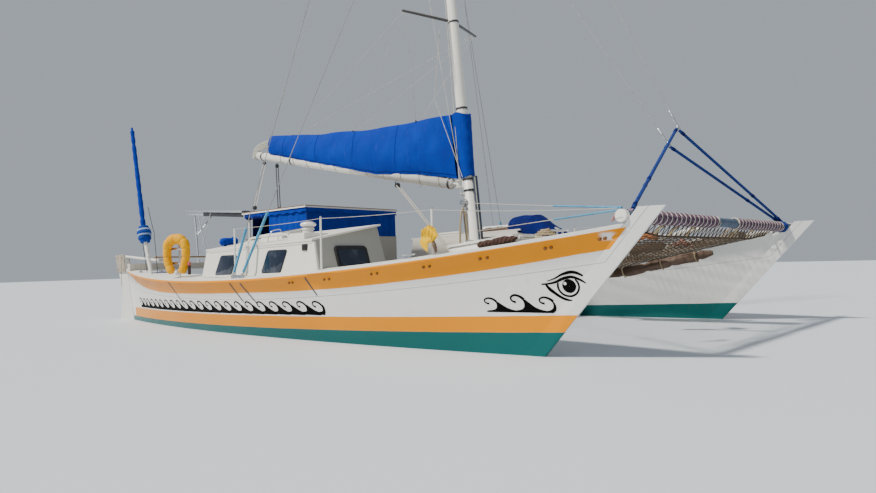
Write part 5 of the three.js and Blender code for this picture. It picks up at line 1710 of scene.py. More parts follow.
MAST_PAINT = plain_paint("mast_cream_paint", "alloy", *SPAR_CREAM)
on_arm = between(abs(apart(places(MAST_PAINT))[1]), 0.105, 0.115)
painted_cream = MAST_PAINT.node_tree.nodes["Principled BSDF"].inputs["Base Color"].links[0].from_socket
dark_arms = tint(MAST_PAINT, on_arm, Field(MAST_PAINT, painted_cream), (0.045, 0.042, 0.038))
into(MAST_PAINT, "Base Color", dark_arms)
for node, body, paint in (("mast", "boat", MAST_PAINT), ("boom", "boom", SPAR_PAINT)):
    dress(welded_copy(node + "_skin", [node]), paint, body, stands_for=[node], angle=50)

track = strip("track", mast_spot(2.05, pi, 0.093), mast_spot(12.2, pi, 0.062), 0.012, 0.022, edge=0.002)
dress(track, ALUMINIUM)
bands = []
for z in (2.13, 2.31, 3.475, 4.93, 8.68, 8.74):
    radius = 0.096 if z < 4 else 0.094 - 0.0034 * (z - 4)
    bands.append(rod("band", mast_spot(z), mast_spot(z + 0.035), radius, sides=32, edge=0.003))
gear("mast_bands", bands, DARK_METAL_AND_SHADOW)
top_x = mast_x(12.3)
cap = [
    rod("cap", mast_spot(12.28), mast_spot(12.33), 0.066, sides=28, edge=0.004),
    rod("cap", mast_spot(12.33), mast_spot(12.66), 0.004, sides=8),
    block("cap", (top_x - 0.1, -0.018, 12.3), (top_x + 0.1, 0.018, 12.345), 0.004),
]
gear("masthead", cap, ALUMINIUM)

# Radius and height, in sizes of the drum
DRUM = [
    (0, 0), (1, 0), (1, 0.24), (0.62, 0.42), (0.58, 1.25), (0.84, 1.5), (0.84, 1.72), (0.3, 1.8), (0, 1.8)
]
for name, foot, axis, size in (
    ("mast_winch_low", mast_spot(1.96, -1.9, 0.088), (-0.32, -0.94, 0), 0.052),
    ("mast_winch_high", mast_spot(2.1, -2.6, 0.088), (-0.86, -0.5, 0), 0.04),
    ("mast_winch_port", mast_spot(1.9, 1.7, 0.088), (-0.12, 0.99, 0), 0.052),
):
    dress(turned(name, [(size * r, size * h) for r, h in DRUM], foot, axis, 28), STAINLESS)
wedges = []
for k in range(8):
    base = mast_spot(1.0, pi * k / 4, 0.115)
    wedges.append(rod("chock", base, base + UP * 0.045, 0.022, sides=4, edge=0.003))
gear("mast_wedges", wedges, GREY_WOOD)

collars = []
for x in (1.93, -2.52, -3.62):
    ends = [(spot, 0, boom_z(spot)) for spot in (x, x - 0.045)]
    collars.append(rod("ring", *ends, BOOM["radius"] + 0.0045, sides=32, edge=0.003))
gear("boom_bands", collars, DARK_METAL_AND_SHADOW, "boom")
cap_profile = [(0.0, 0.0), (0.098, 0.0), (0.098, 0.03), (0.075, 0.042), (0.0, 0.045)]
end_cap = turned("boom_cap", cap_profile, (-3.84, 0, boom_z(-3.84)), (-1, 0, 0.2079), 28)
dress(end_cap, GREY_PAINT_AND_SHADE, "boom")
eyes = []
for x in (1.2, 0.62, -0.9, -2.1, -3.15, -3.64):
    under = boom_z(x) - BOOM["radius"]
    eyes.append(rope("eye", circle((x, 0, under - 0.018), 0.02, (0.9, 0, 0), UP, 16), 0.0045, 6))
    eyes.append(block("eye", (x - 0.03, -0.014, under - 0.006), (x + 0.03, 0.014, under + 0.012), 0.002))
gear("boom_eyes", eyes, STAINLESS, "boom")
print("spars done")

# %% [markdown]
# ## Sail cover
# The covered sail is one sheet, laid from one foot of the cover over the ridge to the
# other. Its section follows five stations, and three things make it read as cloth: seams
# that pull in a little, shallow folds that fan up from each lacing point, and a foot
# that rises between them.

# %% Sail cover
# x, ridge, half widths at the foot, the bulge and the head, and the foot's height over the boom's axis
STATIONS = [
    (2.0598, 3.435, 0.062, 0.092, 0.034, 0.105),
    (1.3, 3.452, 0.068, 0.138, 0.028, 0.084),
    (0.1, 3.49, 0.102, 0.152, 0.026, -0.02),
    (-1.3, 3.615, 0.098, 0.142, 0.024, 0.026),
    (-3.33, 3.86, 0.074, 0.11, 0.03, 0.08),
]
COVER_FORE, COVER_LONG = 2.0598, 5.3898
LACING = 0.46


def cover_at(x):
    ahead = next((i for i in range(1, 5) if x >= STATIONS[i][0]), 4)
    a, b = STATIONS[ahead - 1], STATIONS[ahead]
    t = (a[0] - x) / (a[0] - b[0])
    t = t * t * (3 - 2 * t) * 0.5 + t * 0.5
    return [p + (q - p) * t for p, q in zip(a[1:], b[1:])]


def cover_share(x):
    return (COVER_FORE - x) / COVER_LONG


def cover_place(u, v):
    x = COVER_FORE - COVER_LONG * u
    top, foot, bulge, head, lift = cover_at(x)
    side = -1 if v < 0.5 else 1
    share = 1 - abs(2 * v - 1)
    to_lace = 0.5 + 0.5 * cos(2 * pi * (x - 0.2) / LACING)
    low = boom_z(x) + lift - 0.01 * to_lace
    z = low + (top - low) * sin(share * pi / 2) ** 0.9
    rise = (z - low) / (top - low)
    if rise < 0.3:
        half = foot + (bulge - foot) * sin(rise / 0.3 * pi / 2)
    else:
        half = head + (bulge - head) * cos((rise - 0.3) / 0.7 * pi / 2) ** 0.8
    fan = 0.011 * cos(2 * pi * (x + 0.1 * rise) / LACING) * (1 - rise) ** 1.3
    drift = 0.009 * sin(4.3 * x + 3.1 * rise) + 0.006 * sin(9.7 * x - 5.0 * rise + side)
    crease = 0.0045 * sin(26 * x + 9 * rise * side) * rise * (1 - rise)
    seam = -0.007 * exp(-(((x + 0.45) % 1.15 - 0.575) / 0.018) ** 2)
    half += fan + drift * sin(rise * pi) + crease + seam * (1 - rise * 0.6)
    half *= 1 - 0.62 * max(1 - u * 22, 0) ** 1.5
    sway = 0.016 * sin(1.9 * x + 0.6) * rise
    shift = -0.09 * (z - boom_z(COVER_FORE)) * max(1 - u * 6, 0)
    return Vector((x + shift, side * max(half, 0.012) + sway, z + 0.005 * sin(5.1 * x) * rise ** 3))


cover = sheet("boom_cover", 300, 44, cover_place, 0.003)
dress(cover, BLUE_CANVAS, "boom", stands_for=["sail_cover"], angle=80)
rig.sheet(cover, flat=(5.45, 2.75), held="hung", rests_on=["boom"], area=cloth_area(cover))
print("sail cover", round(cloth_area(cover), 2), "square metres")

seams = []
for x in (0.7, -0.45, -1.6, -2.75):
    line = []
    for k in range(25):
        v = 0.02 + 0.96 * k / 24
        spot = cover_place(cover_share(x), v)
        away = 0.003 if abs(v - 0.5) > 0.02 else 0.0
        line.append(spot + Vector((0, copysign(away, spot.y), 0.003 * (1 - abs(2 * v - 1)))))
    seams.append(rope("seam", line, 0.0032, 6))
for v in (0.012, 0.988):
    seams.append(rope("hem", [cover_place(0.004 + 0.992 * k / 260, v) for k in range(261)], 0.0055, 6))
ridge = [cover_place(0.003 + 0.994 * k / 200, 0.5) + UP * 0.003 for k in range(201)]
seams.append(rope("ridge", ridge, 0.006, 6))
gear("cover_seams", seams, NAVY_CANVAS, "boom")

lacings = []
x = 1.7
while x > -3.3:
    u = cover_share(x)
    under = [pi + pi * k / 8 for k in range(9)]
    loop = [Vector((x + 0.02, 0.0965 * cos(a), boom_z(x) + 0.0965 * sin(a))) for a in under]
    lacings.append(rope("lacing", [cover_place(u, 0.01), *loop, cover_place(u, 0.99)], 0.0035, 6))
    x -= LACING
gear("cover_lacings", lacings, DARK_ROPE, "boom")

# %% [markdown]
# Behind the cover the folded white sail sticks out, and round the mast a collar of the
# same canvas as the cover's hides the luff. The collar's aft edges meet at the lacing, and
# its fore edge flutters, so its radius follows a wave in angle and in height.

# %% Sail end and collar
FOLD = [(-3.2, 0, 3.735), (-3.52, 0.01, 3.72), (-3.8, 0.0, 3.69), (-3.97, -0.01, 3.6), (-4.05, 0, 3.46)]
fold_path = line_through(FOLD, 40)


def sail_end_place(u, v):
    k = min(round(u * 39), 39)
    ahead = (fold_path[min(k + 1, 39)] - fold_path[max(k - 1, 0)]).normalized()
    up = Vector((-ahead.z, 0, ahead.x)) * (-1 if ahead.x < 0 else 1)
    fold = sin(v * pi * 7 + 1.2 * u) * (0.046 - 0.018 * u)
    return fold_path[k] + up * (2 * v - 1) * (0.085 - 0.03 * u) + Vector((0, fold, 0))


sail_end = sheet("folded_sail", 39, 60, sail_end_place, 0.0024)
dress(sail_end, WHITE_CLOTH, "boom", angle=80)
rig.sheet(sail_end, flat=(0.95, cloth_area(sail_end) / 0.95), held="folded", rests_on=["boom"])


def collar_place(u, v):
    angle = pi - 2.0 * pi * (0.02 + 0.96 * u)
    z = 2.365 + (1.045 - 0.035 * cos(angle)) * v + 0.012 * sin(3 * angle) * (2 * v - 1)
    out = 0.106 + 0.024 * v ** 0.8 + 0.004 * sin(5 * angle + 6 * v) * (0.3 + v)
    out += max(cos(angle), 0) ** 6 * (0.02 * v ** 3 + 0.005 * sin(31 * v))
    out += max(-cos(angle), 0) ** 5 * (0.078 - 0.012 * (1 - v))
    return mast_spot(z, angle, out)


collar = sheet("mast_collar", 72, 70, collar_place, 0.003)
dress(collar, BLUE_CANVAS, stands_for=["mast_cover"], angle=80)
hang(collar, 1.045, ["mast_skin"])
laces = []
for k in range(9):
    z = 2.5 + 0.1 * k
    lace = [mast_spot(z, pi - 0.14, 0.186), mast_spot(z + 0.02, pi, 0.196), mast_spot(z, pi + 0.14, 0.186)]
    laces.append(rope("lace", lace, 0.0035, 6))
gear("collar_laces", laces, WHITE_ROPE)

# %% [markdown]
# ## Standing rigging
# Stays and shrouds are laid wire, and each is a closed tube between its two ends. Light
# blue lashing covers the lower shrouds down to one chainplate a side. These are taut
# and fixed at both ends. The lifelines run from post to post and on to the beam's end.

# %% Stays and shrouds
STAYS = {"inner": (Vector((5.64, 0, 2.43)), 8.7), "outer": (Vector((5.77, 0, 2.62)), 12.15)}
for name, (low, height) in STAYS.items():
    wire = rope("forestay_" + name + "_wire", [low, (mast_x(height) + 0.05, 0, height)], 0.006)
    dress(wire, WIRE, stands_for=["forestay_" + name])
    up = (Vector((mast_x(height), 0, height)) - low).normalized()
    across = Vector((0, 0.045, 0))
    fitting = [
        rod("shackle", low - up * 0.03, low + up * 0.03, 0.02, sides=16, edge=0.003),
        rod("shackle", low + up * 0.03, low + up * 0.26, 0.0125, sides=12, edge=0.002),
        rod("shackle", low + up * 0.09, low + up * 0.2, 0.017, sides=6, edge=0.002),
        rod("shackle", low - across, low + across, 0.011, sides=12, edge=0.002),
    ]
    gear("forestay_" + name + "_bottlescrew", fitting, STAINLESS)

# Foot's x, head's height, height up to which it is lashed
SHROUDS = [(0.64, 8.7, 1.82), (0.4, 12.15, 1.6)]
SHROUD_Y, SHROUD_FOOT = 3.139, 0.893
POST_CAP = [(0.0, 0.0), (0.016, 0.0), (0.016, 0.012), (0.008, 0.02), (0.0, 0.022)]
for side, sign in SIDES.items():
    y = sign * SHROUD_Y
    wires, sleeves, screws = [], [], []
    for x, height, covered in SHROUDS:
        low, high = Vector((x, y, SHROUD_FOOT)), Vector((mast_x(height), sign * 0.03, height))
        up = (high - low).normalized()
        wires.append(rope("wire", [low, high], 0.006))
        cover_top = low + up * (covered - SHROUD_FOOT) / up.z
        lashed = line_through([low + up * 0.03, low.lerp(cover_top, 0.5), cover_top], 60)
        width = [0.019 + 0.0025 * (k % 2) - (0.012 if k in (0, 59) else 0) for k in range(60)]
        sleeves.append(rope("sleeve", lashed, width, 12))
        screws.append(rod("screw", low - up * 0.02, low + up * 0.04, 0.02, sides=14, edge=0.003))
    gear("shroud_wires_" + side, wires, WIRE, stands_for=["shrouds_" + side])
    gear("shroud_lashings_" + side, sleeves, SKY_ROPE)
    screws.append(block("plate", (0.345, y - 0.009, 0.8), (0.695, y + 0.009, 0.895), 0.004))
    for x in (0.38, 0.52, 0.66):
        screws.append(rod("bolt", (x, y - 0.016, 0.85), (x, y + 0.016, 0.85), 0.013, sides=6, edge=0.002))
    gear("chainplate_" + side, screws, STAINLESS)

    caps, tops = [], []
    for number in "123":
        node = "stanchion_" + side + "_" + number
        paint_node(node, SPAR_PAINT)
        low, high = [Vector(NODES[node].bound_box[k]) for k in (0, 6)]
        x, post_y, z = (low.x + high.x) / 2, (low.y + high.y) / 2, high.z
        tops.append(Vector((x, post_y, z - 0.012)))
        caps.append(turned("cap", POST_CAP, (x, post_y, z - 0.002)))
        flange = circle((x, post_y, sheer_at(x) + 0.012), 0.024 * sqrt(0.5), (1, 1, 0), (-1, 1, 0), 4)
        for spot in flange[:-1]:
            caps.append(rod("screw", spot, spot + UP * 0.012, 0.005, sides=6))
    gear("stanchion_caps_" + side, caps, STAINLESS)
    lines = [rope("line", hanging(a, b, 0.012, 10), 0.003, 6) for a, b in zip(tops, tops[1:])]
    lines.append(rope("line", hanging(tops[2], (6.28, sign * 2.62, 1.458), 0.02, 10), 0.003, 6))
    gear("lifelines_" + side, lines, WHITE_ROPE)
print("standing rigging done")

# %% [markdown]
# ## Running rigging
# The mainsheet, the preventer, the kicking strap, the lazy jacks and the topping lift cross
# the boom's joint: each bends between the two bodies, so its lower or its upper end stays
# where it is made fast as the boom swings.

# %% Sheet, strap, halyards
def tackle(name, low, high, gap, radius, material):
    """Two parts of a rope between two blocks, which bends from the deck to the boom."""
    a, b = Vector(low), Vector(high)
    along = (b - a).normalized()
    across = along.cross(UP).normalized()
    parts = [rope("part", [a.lerp(b, k / 20) + s * gap * across for k in range(21)], radius) for s in (-1, 1)]
    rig.blend(gear(name, parts, material, None), "boat", "boom", a, b)
    for end, body, spot, out in (("low", "boat", a, along), ("high", "boom", b, -along)):
        cheek = [
            rod("block", spot - across * 0.034, spot + across * 0.034, 0.042, sides=24, edge=0.008),
            rod("block", spot - across * 0.042, spot + across * 0.042, 0.01, sides=10, edge=0.002),
            rod("block", spot - out * 0.03, spot - out * 0.085, 0.01, sides=10, edge=0.002),
        ]
        gear(name + "_block_" + end, cheek, DARK_PLASTIC, body)


tackle("mainsheet", (-2.69, -0.85, 2.21), (-3.64, 0, 3.3), 0.026, 0.009, WHITE_ROPE)
tackle("preventer", (-2.69, -0.27, 2.21), (-3.15, 0, 3.19), 0.022, 0.01, DARK_ROPE)
tackle("kicking_strap", (1.96, 0, 1.075), (0.62, 0, 2.4), 0.03, 0.011, WHITE_ROPE)
traveller = [
    level_strip((-2.69, -1.0), (-2.69, 1.0), 2.103, 0.018, 0.03, 0.003),
    block("traveller", (-2.735, -0.92, 2.112), (-2.655, -0.78, 2.142), 0.006),
    block("traveller", (-2.735, -0.34, 2.112), (-2.655, -0.2, 2.142), 0.006),
]
gear("sheet_traveller", traveller, STAINLESS)

halyards = [
    rope("halyard", line, radius, 6)
    for line, radius in (
        ([mast_spot(1.35, -2.4, 0.13), mast_spot(2.2, -2.3, 0.15),
          mast_spot(5.6, -2.6, 0.1), mast_spot(12.1, -2.6, 0.07)], 0.0055),
        ([mast_spot(1.4, 2.4, 0.13), mast_spot(2.3, 2.3, 0.15), mast_spot(8.6, 2.6, 0.1)], 0.0055),
        (hanging(mast_spot(2.32, -2.0, 0.14), (1.66, -0.16, 5.44), 0.0) + [(1.42, -0.1, 8.6)], 0.005),
        (hanging(mast_spot(2.36, -1.6, 0.14), (1.72, -0.15, 3.72), 0.0) + [(1.8, -0.06, 4.9)], 0.005),
    )
]
gear("mast_halyards", halyards, WHITE_ROPE)
jacks, tabs = [], []
for x in (1.15, -0.55, -2.55):
    for sign in (-1, 1):
        slot = cover_place(cover_share(x), 0.5 + 0.03 * sign) - UP * 0.02
        hounds = Vector((mast_x(4.96) - 0.25, sign * 0.86, 5.02))
        jacks.append(rope("jack", [slot, slot.lerp(hounds, 0.5), hounds], 0.0038, 6))
        toward = (hounds - slot).normalized()
        tabs.append(rod("tab", slot - toward * 0.01, slot + toward * 0.05, 0.011, sides=10, edge=0.002))
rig.blend(gear("lazy_jacks", jacks, WHITE_ROPE, None), "boat", "boom", (0, 0, 5.02), (0, 0, 4.05))
gear("lazy_jack_tabs", tabs, DARK_PLASTIC, "boom")
topping = rope("topping_lift", [(-3.7, 0.0, 3.54), (-0.9, 0.0, 7.6), (1.35, 0, 12.1)], 0.0045, 6)
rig.blend(dress(topping, WHITE_ROPE, None), "boat", "boom", (1.35, 0, 12.1), (-3.7, 0, 3.54))

for name, radius, sides, material, lines in (
    ("bow_lines_thick", 0.01, 8, SKY_ROPE,
     [[(6.235, -2.44, 1.455), (4.9, -1.55, 1.47)], [(6.235, -2.44, 1.475), (4.9, -1.56, 1.63)]]),
    ("bow_lines_thin", 0.0045, 6, WHITE_ROPE,
     [[(4.9, -1.55, 1.47), (2.47, -0.06, 1.48)], [(4.9, -1.56, 1.63), (2.42, -0.06, 1.93)]]),
    ("furler_line", 0.006, 8, WHITE_ROPE, [[mast_spot(1.02, -0.18, 0.16), mast_spot(2.34, -0.18, 0.16)]]),
):
    gear(name, [rope("line", line, radius, sides) for line in lines], material)
tube = rope("furler_tube", [mast_spot(1.02, 0.12, 0.125), mast_spot(2.36, 0.12, 0.125)], 0.04, 18)
dress(tube, plain_paint("dark_slate_plastic", "alloy", (0.045, 0.06, 0.085), 0.4, amount=0.4))
print("running rigging done")

# %% [markdown]
# ## Front beam
# The beam between the bows is wound with rope: four helices, one white and three of a
# faded violet, over a dark sleeve. Each helix is a tube along a computed coil. The beam
# ends in a cream disc, and lashings hold it to the stems.

# %% Front beam
BEAM = {"x": 6.28, "z": 1.39, "core": 0.055, "from": -2.54, "to": 2.7, "served": 2.16}
VIOLET_ROPE = cordage("faded_violet_rope", (0.2, 0.115, 0.165), (0.05, 0.03, 0.05))
PINK_ROPE = cordage("pink_lashing", (0.62, 0.36, 0.36), (0.3, 0.15, 0.15))
SLATE_CLOTH = canvas("slate_cloth", (0.075, 0.105, 0.155), (0.13, 0.16, 0.21), "served_rope", 0.8)


def beam_coil(start, end, pitch, phase, reach, radius):
    turns = (end - start) / pitch
    count = int(turns * 13)
    points = []
    for k in range(count + 1):
        angle = 2 * pi * turns * k / count + phase
        y = start + (end - start) * k / count
        points.append((BEAM["x"] + reach * cos(angle), y, BEAM["z"] + reach * sin(angle)))
    return rope("coil", points, radius, 7)


def one_turn(y, phase, reach, radius, half=0.01):
    return beam_coil(y - half, y + half, 2 * half, phase, reach, radius)


ends = [(BEAM["x"], y, BEAM["z"]) for y in (BEAM["from"], BEAM["to"])]
core = rod("front_beam_core", *ends, BEAM["core"], sides=32, edge=0.006)
dress(core, SLATE_CLOTH, stands_for=["beam_front"], angle=50)
white_coils, violet_coils = [], []
for start, end in ((-BEAM["served"], -0.265), (0.377, BEAM["served"])):
    white_coils.append(beam_coil(start, end, 0.116, 0.0, 0.0655, 0.0095))
    violet_coils += [beam_coil(start, end, 0.116, phase, 0.062, 0.0125) for phase in (1.35, 2.7, 4.1)]
    white_coils += [one_turn(y, 0.0, 0.067, 0.008) for y in (start, end)]
gear("beam_serving_white", white_coils, WHITE_ROPE)
gear("beam_serving_violet", violet_coils, VIOLET_ROPE)
disc_profile = [(0.0, 0.0), (0.062, 0.0), (0.062, 0.055), (0.055, 0.062), (0.0, 0.064)]
discs = [
    turned("disc", disc_profile, (BEAM["x"], y, BEAM["z"]), (0, out, 0), 32)
    for y, out in ((BEAM["from"] + 0.046, -1), (BEAM["to"] - 0.046, 1))
]
gear("beam_end_discs", discs, SPAR_PAINT)
ties = []
for sign in (-1, 1):
    ties += [one_turn(sign * (2.235 + 0.034 * k), 0.4 * k, 0.064, 0.01) for k in range(4)]
    marks = ((-0.07, 2.4, 0.06), (-0.15, 2.449, -0.04), (-0.06, 2.5, 0.05))
    marks = [(BEAM["x"] + dx, sign * y, BEAM["z"] + up) for dx, y, up in marks]
    ties.append(rope("tie", line_through(marks, 16), 0.01, 7))
gear("beam_lashings", ties, PINK_ROPE)
print("front beam done")

# %% [markdown]
# Two rope bridles a side run up from the beam to the forestays. Each is a single thick
# tube with a whipped eye at either end.

# %% Bridles
for side, sign in SIDES.items():
    lines, eyes = [], []
    for number, (low, _) in enumerate(STAYS.values()):
        top = Vector((low.x - 0.01, sign * 0.035, low.z - 0.02))
        foot = Vector((BEAM["x"] - 0.03 + 0.03 * number, sign * (2.257 + 0.056 * number), BEAM["z"] + 0.075))
        lines.append(rope("line", line_through([foot, foot.lerp(top, 0.5), top], 40), 0.0185, 10))
        along = (top - foot).normalized()
        for share in (0.03, 0.3, 0.955):
            centre = foot.lerp(top, share)
            eyes.append(rod("whip", centre, centre + along * 0.055, 0.0225, sides=14, edge=0.003))
    lines += [one_turn(sign * (2.233 + 0.026 * k), 0.5 * k, 0.069, 0.012, 0.012) for k in range(5)]
    gear("bridle_ropes_" + side, lines, BLUE_ROPE, stands_for=["bridle_" + side])
    gear("bridle_whippings_" + side, eyes, NAVY_CANVAS)

# %% [markdown]
# ## Foredeck net
# Between the bows a knotted net is laced to the hulls. It is two families of cords, each
# a tube that follows the net's sag and waves over and under the other family, so it reads
# as woven rather than as a drawn grid. A heavier border rope and lacings carry it.

# %% Net
NET_ROPE = cordage("brown_net_cord", (0.105, 0.076, 0.048), (0.04, 0.027, 0.017), "netting", lay=0.02)
NET_FROM, NET_TO, MESH = 2.62, 6.13, 0.092
NET_WAVE, CORD_RADIUS = 0.0038, 0.0045
# Height of the sagging bed along x, and the bed's share of the height across y
NET_BED = [(2.56, 0.9135), (3.3, 0.86), (4.0, 0.812), (6.19, 1.2281)]
NET_ACROSS = [(0.0, 1.0), (1.42, 1.0), (1.7, 0.5), (2.0, 0.1), (2.449, 0.0)]


def net_top(x, y):
    edge = max(sheer_at(x) - 0.022, 0.91)
    return edge + read_off(NET_ACROSS, abs(y)) * (read_off(NET_BED, x) - edge)


def net_x(k, count):
    return NET_FROM + (NET_TO - NET_FROM) * k / count


def inner_edge(x):
    seen_from = Vector((x, -1.2, max(sheer_at(x) - 0.06, 0.85)))
    hit = HULL_SKIN["starboard"].ray_cast(seen_from, Vector((0, -1, 0)))
    return hit[0].y if hit[0] else -HULL_Y


EDGES = [(x, -inner_edge(x)) for x in [net_x(k, 30) for k in range(31)]]


def reach_at(x):
    k = min(max(int((x - NET_FROM) / ((NET_TO - NET_FROM) / 30)), 0), 29)
    a, b = EDGES[k], EDGES[k + 1]
    return a[1] + (b[1] - a[1]) * (x - a[0]) / (b[0] - a[0]) - 0.045


cords = []
count = int((NET_TO - NET_FROM) / MESH)
for i in range(count + 1):
    x = net_x(i, count)
    half = reach_at(x)
    steps = max(int(2 * half / MESH), 2)
    points = []
    for k in range(steps + 1):
        y = -half + 2 * half * k / steps
        over = NET_WAVE * (1 if (i + k) % 2 else -1)
        points.append((x + 0.006 * sin(3 * y + i), y, net_top(x, y) + over))
    cords.append(rope("cord", points, CORD_RADIUS, 4))
gear("net_cords_across", cords, NET_ROPE, stands_for=["foredeck_net"])

cords = []
lanes = int(4.5 / MESH)
for j in range(lanes + 1):
    y = -2.25 + 4.5 * j / lanes
    points = []
    for i in range(count + 1):
        x = net_x(i, count)
        if abs(y) <= reach_at(x):
            over = NET_WAVE * (-1 if (i + j) % 2 else 1)
            points.append((x, y + 0.006 * sin(2.3 * x + j), net_top(x, y) + over))
    if len(points) > 2:
        cords.append(rope("cord", points, CORD_RADIUS, 4))
gear("net_cords_along", cords, NET_ROPE)

border, lacing = [], []
for sign in (-1, 1):
    line = []
    for k in range(61):
        x = net_x(k, 60)
        y = sign * reach_at(x)
        line.append(Vector((x, y, net_top(x, y))))
    border.append(rope("border", line, 0.011))
    for a, b in zip(line[::2], line[1::2]):
        lacing.append(rope("lacing", [a, a + Vector((0.03, sign * 0.05, 0.012)), b], CORD_RADIUS, 5))
for x, anchor in ((NET_FROM, 2.565), (NET_TO, 6.215)):
    half = reach_at(x)
    line = [Vector((x, y, net_top(x, y))) for y in [-half + 2 * half * k / 40 for k in range(41)]]
    border.append(rope("border", line, 0.012))
    for a, b in zip(line[1:], line[2:]):
        hook_z = a.z if x < 4 else BEAM["z"] - BEAM["core"]
        lacing.append(rope("lacing", [a, (anchor, (a.y + b.y) / 2, hook_z), b], 0.0055, 5))
gear("net_border", border, NET_ROPE)
gear("net_lacings", lacing, NET_ROPE)
print("net with", count + 1, "by", lanes + 1, "cords")

# %% [markdown]
# ## Slatted deck
# Between the hulls the deck is laid with grey hardwood slats over the cross beams. Each
# slat stands up a little more or less, by a repeatable pseudo-random number, and the
# screw heads are copies of one.

# %% Slats
SLAT = {"from": -3.15, "to": 2.56, "half": 1.67, "low": 0.872, "top": 0.91, "wide": 0.092, "gap": 0.01}


def shuffle(seed):
    return (sin(seed * 127.1 + 11.7) * 43758.5453) % 1


slats, screws = [], []
y = -SLAT["half"]
while y + SLAT["wide"] <= SLAT["half"] + 0.001:
    top = SLAT["top"] - 0.001 + 0.0022 * shuffle(len(slats))
    slats.append(block("slat", (SLAT["from"], y, SLAT["low"]), (SLAT["to"], y + SLAT["wide"], top), 0.004, 1))
    y += SLAT["wide"] + SLAT["gap"]
gear("deck_slats", slats, DECK_WOOD, stands_for=["deck_platform"])
head = rod("screw", (0, 0, 0), (0, 0, 0.0025), 0.006, sides=6)
for x in (-3.02, -0.2, 2.44):
    for j in range(len(slats)):
        centre = -SLAT["half"] + (SLAT["wide"] + SLAT["gap"]) * j + SLAT["wide"] / 2
        for off in (-0.026, 0.026):
            screw = copy_of(head, "screw")
            screw.data.transform(Matrix.Translation((x, centre + off, SLAT["top"] - 0.0008)))
            screws.append(screw)
bpy.data.objects.remove(head)
print(len(screws), "screws")
gear("deck_screws", screws, BRONZE)
joists = [level_strip((x, -1.66), (x, 1.66), 0.855, 0.03, 0.07) for x in (-2.2, -1.2, 0.9, 1.7)]
gear("deck_joists", joists, BEAM_WOOD)

# %% [markdown]
# ## Plank and bundles in the net
# A pale plank lies in the net, tied to it, and a brown roll is slung under it. A rolled
# cover and bright cloths lie near by.

# %% Plank, rolls
PLANK_HIGH, ROLL_DROP = 0.11, 0.098
dress(welded_copy("plank_board", ["boarding_plank"]), GREY_WOOD, stands_for=["boarding_plank"])


def plank_top(x):
    a, b = [NODES["boarding_plank"].bound_box[k] for k in (0, 6)]
    return a[2] + PLANK_HIGH + (b[2] - a[2] - PLANK_HIGH) * (x - a[0]) / (b[0] - a[0])


def bundle(name, marks, width, material, creases=5, lumps=0.16, count=46, sides=18):
    """A rolled or bunched cloth: a tube whose width varies, with creases round its ties."""
    path = line_through(marks, count)
    widths = []
    for k in range(count):
        share = k / (count - 1)
        tie = min(abs(share - (j + 0.5) / creases) for j in range(creases))
        ends = min(1, 0.45 + 5 * min(share, 1 - share))
        wave = 1 + lumps * (0.6 * sin(11 * share + 1.1 * len(name)) + 0.4 * sin(29 * share))
        widths.append(width * ends * wave * (1 - 0.3 * exp(-(tie / 0.012) ** 2)))
    piece = rope(name, path, widths, sides)
    for i, vertex in enumerate(piece.data.vertices):
        ring, spoke = divmod(i, sides)
        if ring < count:
            fold = 1 + 0.1 * sin(spoke * 2 * pi / sides * 5 + ring * 0.21)
            vertex.co = path[ring] + (vertex.co - path[ring]) * fold
    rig.padded(dress(piece, material, angle=75), fill=0.5)


ROLL = [(3.15, 1.5), (3.7, 1.5), (4.25, 1.5), (4.75, 1.55), (5.15, 1.6), (5.52, 1.65)]
bundle("brown_roll", [(x, y, net_top(x, y) - ROLL_DROP) for x, y in ROLL], 0.08, BROWN_CLOTH, 6, 0.1, 60)
# Distance across from the roll's middle, and height over the net
SLING = [(-0.105, 0.004), (-0.094, -0.1), (0, -0.19), (0.094, -0.1), (0.105, 0.004)]
slings = []
for x, y in ((3.5, 1.5), (4.2, 1.5), (4.8, 1.555), (5.3, 1.62)):
    loop = [(x, y + across, net_top(x, y) + up) for across, up in SLING]
    slings.append(rope("sling", line_through(loop, 24), 0.009, 7))
gear("roll_slings", slings, TAN_ROPE)
RUST_CLOTH = canvas("rust_orange_cloth", (0.5, 0.15, 0.045), (0.62, 0.25, 0.1))
for name, marks, width, material, *shape in (
    ("net_bag", [(5.1, -0.1, 1.085), (5.3, 0, 1.115), (5.52, 0.05, 1.145)], 0.06, BROWN_CLOTH, 3, 0.2, 30),
    ("white_rolled_cover", [(5.42, 0, 1.215), (5.8, 0, 1.3), (6.15, 0, 1.372)], 0.032, WHITE_CLOTH, 4, 0.08),
    ("orange_tangle", [(5.8, -1.32, 1.195), (5.88, -1.22, 1.235), (5.94, -1.13, 1.225), (5.9, -1.02, 1.205)],
     0.034, RUST_CLOTH, 3, 0.3, 30),
    ("bow_cover", [(5.93, 1.78, 1.255), (6.08, 1.96, 1.275), (6.18, 2.16, 1.315)],
     0.052, WHITE_CLOTH, 3, 0.25, 30),
):
    bundle(name, marks, width, material, *shape)
# Place across, and height over the plank's top
PLANK_TIE = [
    (1.072, -0.11), (1.07, -0.02), (1.085, 0.004), (1.23, 0.006),
    (1.375, 0.004), (1.39, -0.02), (1.388, -0.11),
]
ties = []
for x in (4.12, 4.6, 5.1, 5.6, 5.98):
    loop = [(x, y, plank_top(x) + 0.006 + up) for y, up in PLANK_TIE]
    ties.append(rope("tie", line_through(loop, 30), 0.008, 6))
gear("plank_ties", ties, TAN_ROPE)
hangers = []
for y in (-1.55, -1.2, -0.75, 0.35, 0.62, 1.2):
    foot = net_top(6.1, y)
    line = [(6.24, y, BEAM["z"] - 0.07), (6.19, y + 0.01, (BEAM["z"] + foot) / 2), (6.12, y, foot)]
    hangers.append(rope("hanger", line, 0.011, 7))
gear("net_hangers", hangers, TAN_ROPE)

